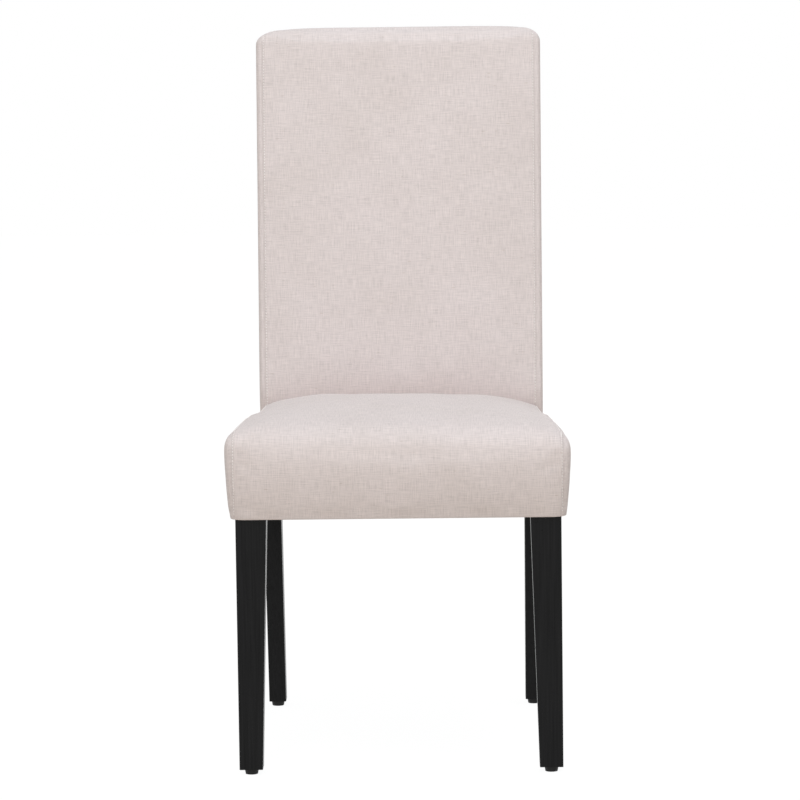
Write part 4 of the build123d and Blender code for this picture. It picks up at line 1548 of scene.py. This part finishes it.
@dataclass
class Suspension:
    """Webbing of the seat, woven over and under, and of the back."""

    seat_taper: float
    straps: Straps = Straps()
    pitch_across: float = 0.062
    pitch_along: float = 0.070
    count: int = 5
    lift: float = 0.0011
    back_bow: float = 0.004
    back_gap: float = 0.0012
    places: int = 61
    back_places: int = 41

    def seat(self) -> list[bpy.types.Object]:
        """Lay the two sets of seat straps, each a cosine wave over and under the other set.

        Returns:
            The straps that run back, and those that run across.
        """
        long_low, long_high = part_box("seat_webbing_lengthwise")
        wide_low, wide_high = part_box("seat_webbing_crosswise")
        level = (long_low.z + wide_high.z) / 2
        middle = (wide_low.y + wide_high.y) / 2
        depths = np.linspace(long_low.y, long_high.y, self.places)
        spans = np.linspace(-1.0, 1.0, self.places)
        long_lines, wide_lines = [], []
        for number in range(self.count):
            step = number - (self.count - 1) / 2
            lift = self.lift * (1 - 2 * (number % 2))
            wave = lift * np.cos(np.pi * (depths - middle) / self.pitch_along)
            place = np.full(len(depths), step * self.pitch_across)
            long_lines.append(np.stack([place, depths, level + wave], axis=1))
            widths = spans * (wide_high.x - self.seat_taper * number * self.pitch_along)
            wave = -lift * np.cos(np.pi * widths / self.pitch_across)
            place = np.full(len(widths), middle + step * self.pitch_along)
            wide_lines.append(np.stack([widths, place, level + wave], axis=1))
        lengthwise = self.straps.lay("seat_straps_lengthwise", long_lines, (0.0, 0.0, 1.0))
        crosswise = self.straps.lay("seat_straps_crosswise", wide_lines, (0.0, 0.0, 1.0))
        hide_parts("seat_webbing_lengthwise")
        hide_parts("seat_webbing_crosswise")
        return [lengthwise, crosswise]

    def back(self, lines: PostLines) -> bpy.types.Object:
        """Lay the back straps across the posts, each bowed a little to the rear between them.

        Args:
            lines: lines of the posts.

        Returns:
            The straps as one piece.
        """
        low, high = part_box("back_webbing")
        slant = self.straps.width / 2 * np.cos(np.arctan(lines.recline))
        widths = np.linspace(low.x, high.x, self.back_places)
        bow = self.back_bow * (1 - (widths / high.x) ** 2) - self.back_gap
        paths = [
            np.stack([widths, lines.front(np.array(z)) + bow, np.full_like(widths, z)], axis=1)
            for z in np.linspace(low.z + slant, high.z - slant, self.count)
        ]
        piece = self.straps.lay("back_straps", paths, (0.0, -1.0, lines.recline))
        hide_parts("back_webbing")
        return piece


@dataclass
class DustCover:
    """Thin black cloth under the seat, tacked along its edges and sagging a little between them."""

    seat_taper: float
    sag: float = 0.0035
    drop: float = 0.0008
    thickness: float = 0.0005
    leg_gap: float = 0.001
    post_gap: float = 0.005
    tack_inset: float = 0.007
    tack_ends: Pair = (0.012, 0.01)
    tack_drop: float = 0.02
    tack_rays: int = 120
    end_rows: int = 8
    middle_rows: int = 60
    columns: int = 73
    tacks: Stitching = Stitching(pitch=0.045, length=0.011, width=0.0012, height=0.0009)

    def patch(self, depths: Pair, halves: Pair, rows: int) -> tuple[Array, Array]:
        """Grid of a four-sided piece of cloth, as wide as given at both ends.

        Args:
            depths: depths of the front and rear edges.
            halves: half-widths at the front and rear edges.
            rows: gaps along the depth.

        Returns:
            Plan places, one row each, and quads seen from below.
        """
        share = np.linspace(0.0, 1.0, rows + 1)[:, None]
        across = np.linspace(-1.0, 1.0, self.columns)[None, :]
        half = halves[0] + (halves[1] - halves[0]) * share
        depth = depths[0] + (depths[1] - depths[0]) * share
        places = np.stack([half * across, depth + 0 * across], axis=-1)
        index = np.arange(places[..., 0].size).reshape(places.shape[:2])
        return places.reshape(-1, 2), grid_faces(index)[:, ::-1]

    def tack_row(self, start: Pair, end: Pair, level: float) -> tuple[Array, Array]:
        """Straight line of places below the cloth, with rays that go up to it.

        Args:
            start: plan place of one end.
            end: plan place of the other end.
            level: height from which the rays start.

        Returns:
            Places and directions.
        """
        line = resample(np.array([[*start, level], [*end, level]]), self.tack_rays)
        return line, np.tile([0.0, 0.0, 1.0], (self.tack_rays, 1))

    def build(self) -> tuple[bpy.types.Object, list[bpy.types.Object]]:
        """Make the cloth in three patches, between the legs, the rails and the posts, and its staples.

        The sag is the product of two parabolas, across and along, and dies out at the tacked edges.

        Returns:
            The cloth and the rows of staples.
        """
        low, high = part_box("dust_cover")
        leg_low, leg_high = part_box("front_leg_right")
        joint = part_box("seat_rear_rail")[1].y
        leg_rear = leg_high.y + self.leg_gap
        leg_half = leg_low.x - self.leg_gap
        tail_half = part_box("rear_leg_right")[0].x - self.post_gap
        full_half = high.x
        rear_half = full_half - self.seat_taper * (joint - leg_rear)
        patches = [
            self.patch((low.y, leg_rear), (leg_half, leg_half), self.end_rows),
            self.patch((leg_rear, joint), (full_half, rear_half), self.middle_rows),
            self.patch((joint, high.y), (tail_half, tail_half), self.end_rows),
        ]
        starts = np.cumsum([0] + [len(places) for places, _ in patches])
        places = np.concatenate([places for places, _ in patches])
        faces = np.concatenate([quads + start for (_, quads), start in zip(patches, starts)])
        middle = (low.y + high.y) / 2
        half_depth = (high.y - low.y) / 2
        bowl = np.clip(1 - (places[:, 0] / full_half) ** 2, 0.0, 1.0)
        bowl *= np.clip(1 - ((places[:, 1] - middle) / half_depth) ** 2, 0.0, 1.0)
        z = high.z - self.drop - self.sag * bowl
        cloth = make_piece("dust_cloth", np.concatenate([places, z[:, None]], axis=1), faces)
        solid = cloth.modifiers.new("thickness", "SOLIDIFY")
        solid.thickness = self.thickness
        solid.offset = -1.0
        area = 2 * leg_half * (leg_rear - low.y) + (full_half + rear_half) * (joint - leg_rear)
        area += 2 * tail_half * (high.y - joint)
        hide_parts("dust_cover")
        inset, level = self.tack_inset, low.z - self.tack_drop
        side_front, side_rear = leg_rear + self.tack_ends[0], joint - self.tack_ends[1]
        ends = [
            ((inset - leg_half, low.y + inset), (leg_half - inset, low.y + inset)),
            ((inset - full_half, side_front), (inset - rear_half, side_rear)),
            ((full_half - inset, side_front), (rear_half - inset, side_rear)),
            ((inset - tail_half, high.y - inset), (tail_half - inset, high.y - inset)),
        ]
        rows = [
            self.tacks.lay(f"dust_cloth_staples_{number}", cloth, self.tack_row(*pair, level))
            for number, pair in enumerate(ends, start=1)
        ]
        return cloth, rows


@dataclass(frozen=True)
class Lamp:
    """Square soft light that faces a target, with its power in watts."""

    name: str
    place: Point
    target: Point
    size: float
    power: float
    colour: Colour

    def hang(self) -> None:
        """Put the light into the scene."""
        data = bpy.data.lights.new(self.name, "AREA")
        data.size = self.size
        data.energy = self.power
        data.color = self.colour
        light = bpy.data.objects.new(self.name, data)
        facing = (Vector(self.target) - Vector(self.place)).to_track_quat("-Z", "Y")
        light.matrix_world = Matrix.Translation(self.place) @ facing.to_matrix().to_4x4()
        bpy.context.scene.collection.objects.link(light)


COOL_LIGHT: Colour = (0.90, 0.97, 1.0)
WARM_LIGHT: Colour = (1.0, 0.985, 0.965)
LAMPS = (
    Lamp("overhead", (0.3, -1.2, 3.6), (0.0, 0.0, 0.5), size=2.6, power=50.0, colour=COOL_LIGHT),
    Lamp("front_fill", (-0.5, -4.4, 2.1), (0.0, 0.0, 0.6), size=2.2, power=54.0, colour=WARM_LIGHT),
    Lamp("rear_fill", (0.9, 4.2, 1.3), (0.0, 0.2, 0.6), size=2.2, power=26.0, colour=WARM_LIGHT),
)


@dataclass(frozen=True)
class Studio:
    """Pale floor, soft light and the camera that took the photograph."""

    camera_place: Point = (0.0891, -5.6285, 1.1689)
    pitch: float = 0.1216
    yaw: float = -0.0158
    roll: float = 0.0128
    lens: float = 180.0
    sensor: float = 36.0
    floor_half: float = 9.0
    floor_glow: float = 0.86
    ambient: float = 0.56
    floor_light: float = 1.12
    floor_tint: Colour = (0.99, 0.995, 1.0)
    floor_shade: Colour = (0.62, 0.57, 0.50)
    sky: Colour = (0.98, 0.99, 1.0)
    far: float = 200.0

    def camera(self) -> None:
        """Set up the camera from its place and three angles."""
        level = np.array([np.sin(self.yaw), np.cos(self.yaw), 0.0])
        forward = level * np.cos(self.pitch) - np.array([0.0, 0.0, np.sin(self.pitch)])
        right = np.array([np.cos(self.yaw), -np.sin(self.yaw), 0.0])
        up = np.cross(right, forward)
        level_x = right * np.cos(self.roll) - up * np.sin(self.roll)
        level_y = right * np.sin(self.roll) + up * np.cos(self.roll)
        data = bpy.data.cameras.new("camera")
        data.lens = self.lens
        data.sensor_width = self.sensor
        data.clip_end = self.far
        camera = bpy.data.objects.new("camera", data)
        turned = Matrix([*zip(level_x, level_y, -forward)]).to_4x4()
        camera.matrix_world = Matrix.Translation(self.camera_place) @ turned
        bpy.context.scene.collection.objects.link(camera)
        bpy.context.scene.camera = camera

    def seen(self, tree: bpy.types.NodeTree) -> bpy.types.NodeSocket:
        """Tell whether a ray comes from the camera, a reflection or glass.

        Args:
            tree: node tree that asks.

        Returns:
            The socket that gives 0 or 1.
        """
        path = tree.nodes.new("ShaderNodeLightPath")
        total = path.outputs["Is Camera Ray"]
        for name in ("Is Glossy Ray", "Is Transmission Ray"):
            node = tree.nodes.new("ShaderNodeMath")
            node.operation = "MAXIMUM"
            tree.links.new(total, node.inputs[0])
            tree.links.new(path.outputs[name], node.inputs[1])
            total = node.outputs["Value"]
        return total

    def mix(
        self,
        tree: bpy.types.NodeTree,
        share: bpy.types.NodeSocket,
        shaders: list[bpy.types.Node],
        end: str,
    ) -> None:
        """Show the second of two shaders by a share, and the first for the rest.

        Args:
            tree: node tree of the shaders.
            share: socket of the share, from 0 to 1.
            shaders: nodes of the two shaders.
            end: name of the node that takes the result.
        """
        node = tree.nodes.new("ShaderNodeMixShader")
        tree.links.new(share, node.inputs["Fac"])
        for number, shader in enumerate(shaders, start=1):
            tree.links.new(shader.outputs[0], node.inputs[number])
        tree.links.new(node.outputs[0], tree.nodes[end].inputs["Surface"])

    def world(self) -> None:
        """Light evenly from all round, and show white behind the chair."""
        world = bpy.data.worlds.new("studio")
        bpy.context.scene.world = world
        world.use_nodes = True
        tree = world.node_tree
        light = tree.nodes["Background"]
        light.inputs["Color"].default_value = (*self.sky, 1.0)
        light.inputs["Strength"].default_value = self.ambient
        white = tree.nodes.new("ShaderNodeBackground")
        white.inputs["Color"].default_value = (*WHITE, 1.0)
        white.inputs["Strength"].default_value = 1.0
        self.mix(tree, self.seen(tree), [light, white], "World Output")

    def floor(self) -> None:
        """Lay a white floor that glows for the camera and still takes the chair's shadow."""
        half = self.floor_half
        points = half * np.array([[-1.0, -1.0, 0.0], [1.0, -1.0, 0.0], [1.0, 1.0, 0.0], [-1.0, 1.0, 0.0]])
        floor = make_piece("floor", points, np.array([[0, 1, 2, 3]]))
        nodes = Nodes("floor_white")
        tree, matte = nodes.tree, nodes.shader
        matte.inputs["Base Color"].default_value = (*self.floor_shade, 1.0)
        nodes.set(Roughness=1.0, Specular_IOR_Level=0.0)
        glow = nodes.add("ShaderNodeEmission")
        glow.inputs["Color"].default_value = (*self.floor_tint, 1.0)
        glow.inputs["Strength"].default_value = self.floor_light
        share = nodes.math("MULTIPLY", self.seen(tree), self.floor_glow)
        self.mix(tree, share, [matte, glow], "Material Output")
        floor.data.materials.append(nodes.material)

    def build(self) -> None:
        """Set up view, world, floor, lights and camera."""
        bpy.context.scene.view_settings.view_transform = "Standard"
        self.world()
        self.floor()
        for lamp in LAMPS:
            lamp.hang()
        self.camera()


@dataclass
class Finishes:
    """All finishes of the chair, and the frame nodes that take each of them."""

    linen: bpy.types.Material = field(default_factory=LinenFinish().build)
    thread: bpy.types.Material = field(default_factory=SEWING_THREAD.build)
    lacquer: bpy.types.Material = field(default_factory=BLACK_LACQUER.build)
    timber_across: bpy.types.Material = field(
        default_factory=TimberFinish("timber_across", (9.0, 120.0, 120.0)).build
    )
    timber_along: bpy.types.Material = field(
        default_factory=TimberFinish("timber_along", (120.0, 9.0, 120.0)).build
    )
    board: bpy.types.Material = field(default_factory=HARDBOARD.build)
    plated: bpy.types.Material = field(default_factory=ZINC_PLATE.build)
    moulded: bpy.types.Material = field(default_factory=GLIDE_PLASTIC.build)
    felt: bpy.types.Material = field(default_factory=FeltFinish().build)
    strap: bpy.types.Material = field(default_factory=StrapFinish().build)

    def of_node(self, name: str) -> bpy.types.Material:
        """Choose the finish of a frame node by the words in its name.

        Args:
            name: name of the node.

        Returns:
            The finish.
        """
        if "glide" in name:
            return self.moulded
        if "bolts" in name or "inserts" in name:
            return self.plated
        if "leg" in name:
            return self.lacquer
        if "board" in name:
            return self.board
        if "side_rail" in name:
            return self.timber_along
        return self.timber_across

    def dress(self, piece: bpy.types.Object, material: bpy.types.Material) -> None:
        """Give a new piece its finish, let it ride on the chair, and log how many faces it has.

        Args:
            piece: the new piece.
            material: its finish.
        """
        piece.data.materials.clear()
        piece.data.materials.append(material)
        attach(piece, "root")
        log.info("%s: %d faces", piece.name, len(piece.data.polygons))

    def dress_frame(self) -> None:
        """Give every frame node that shows its finish."""
        for name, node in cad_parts.items():
            if node.hide_render:
                continue
            node.data.materials.clear()
            node.data.materials.append(self.of_node(name))
            log.info("frame node %s", name)


def main() -> None:
    """Build the covers, the stitching, the underside and the studio, and note the sizes."""
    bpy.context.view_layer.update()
    lines = PostLines()
    seat = SeatCushion(lines)
    back = BackCushion(lines)
    finishes = Finishes()
    seat_piece = seat.build()
    finishes.dress(seat_piece, finishes.linen)
    back_piece = back.build()
    finishes.dress(back_piece, finishes.linen)
    stitching = Stitching()
    for hand in Hand:
        for word, cushion, piece in (("seat", seat, seat_piece), ("back", back, back_piece)):
            line = cushion.stitch_line(hand, stitching.offset)
            row = stitching.lay(f"{word}_stitching_{hand.word}", piece, line)
            finishes.dress(row, finishes.thread)
    suspension = Suspension(seat.taper)
    for piece in [*suspension.seat(), suspension.back(lines)]:
        finishes.dress(piece, finishes.strap)
    cloth, staples = DustCover(seat.taper).build()
    finishes.dress(cloth, finishes.felt)
    for row in staples:
        finishes.dress(row, finishes.plated)
    finishes.dress_frame()
    Studio().build()


if __name__ == "__main__":
    main()
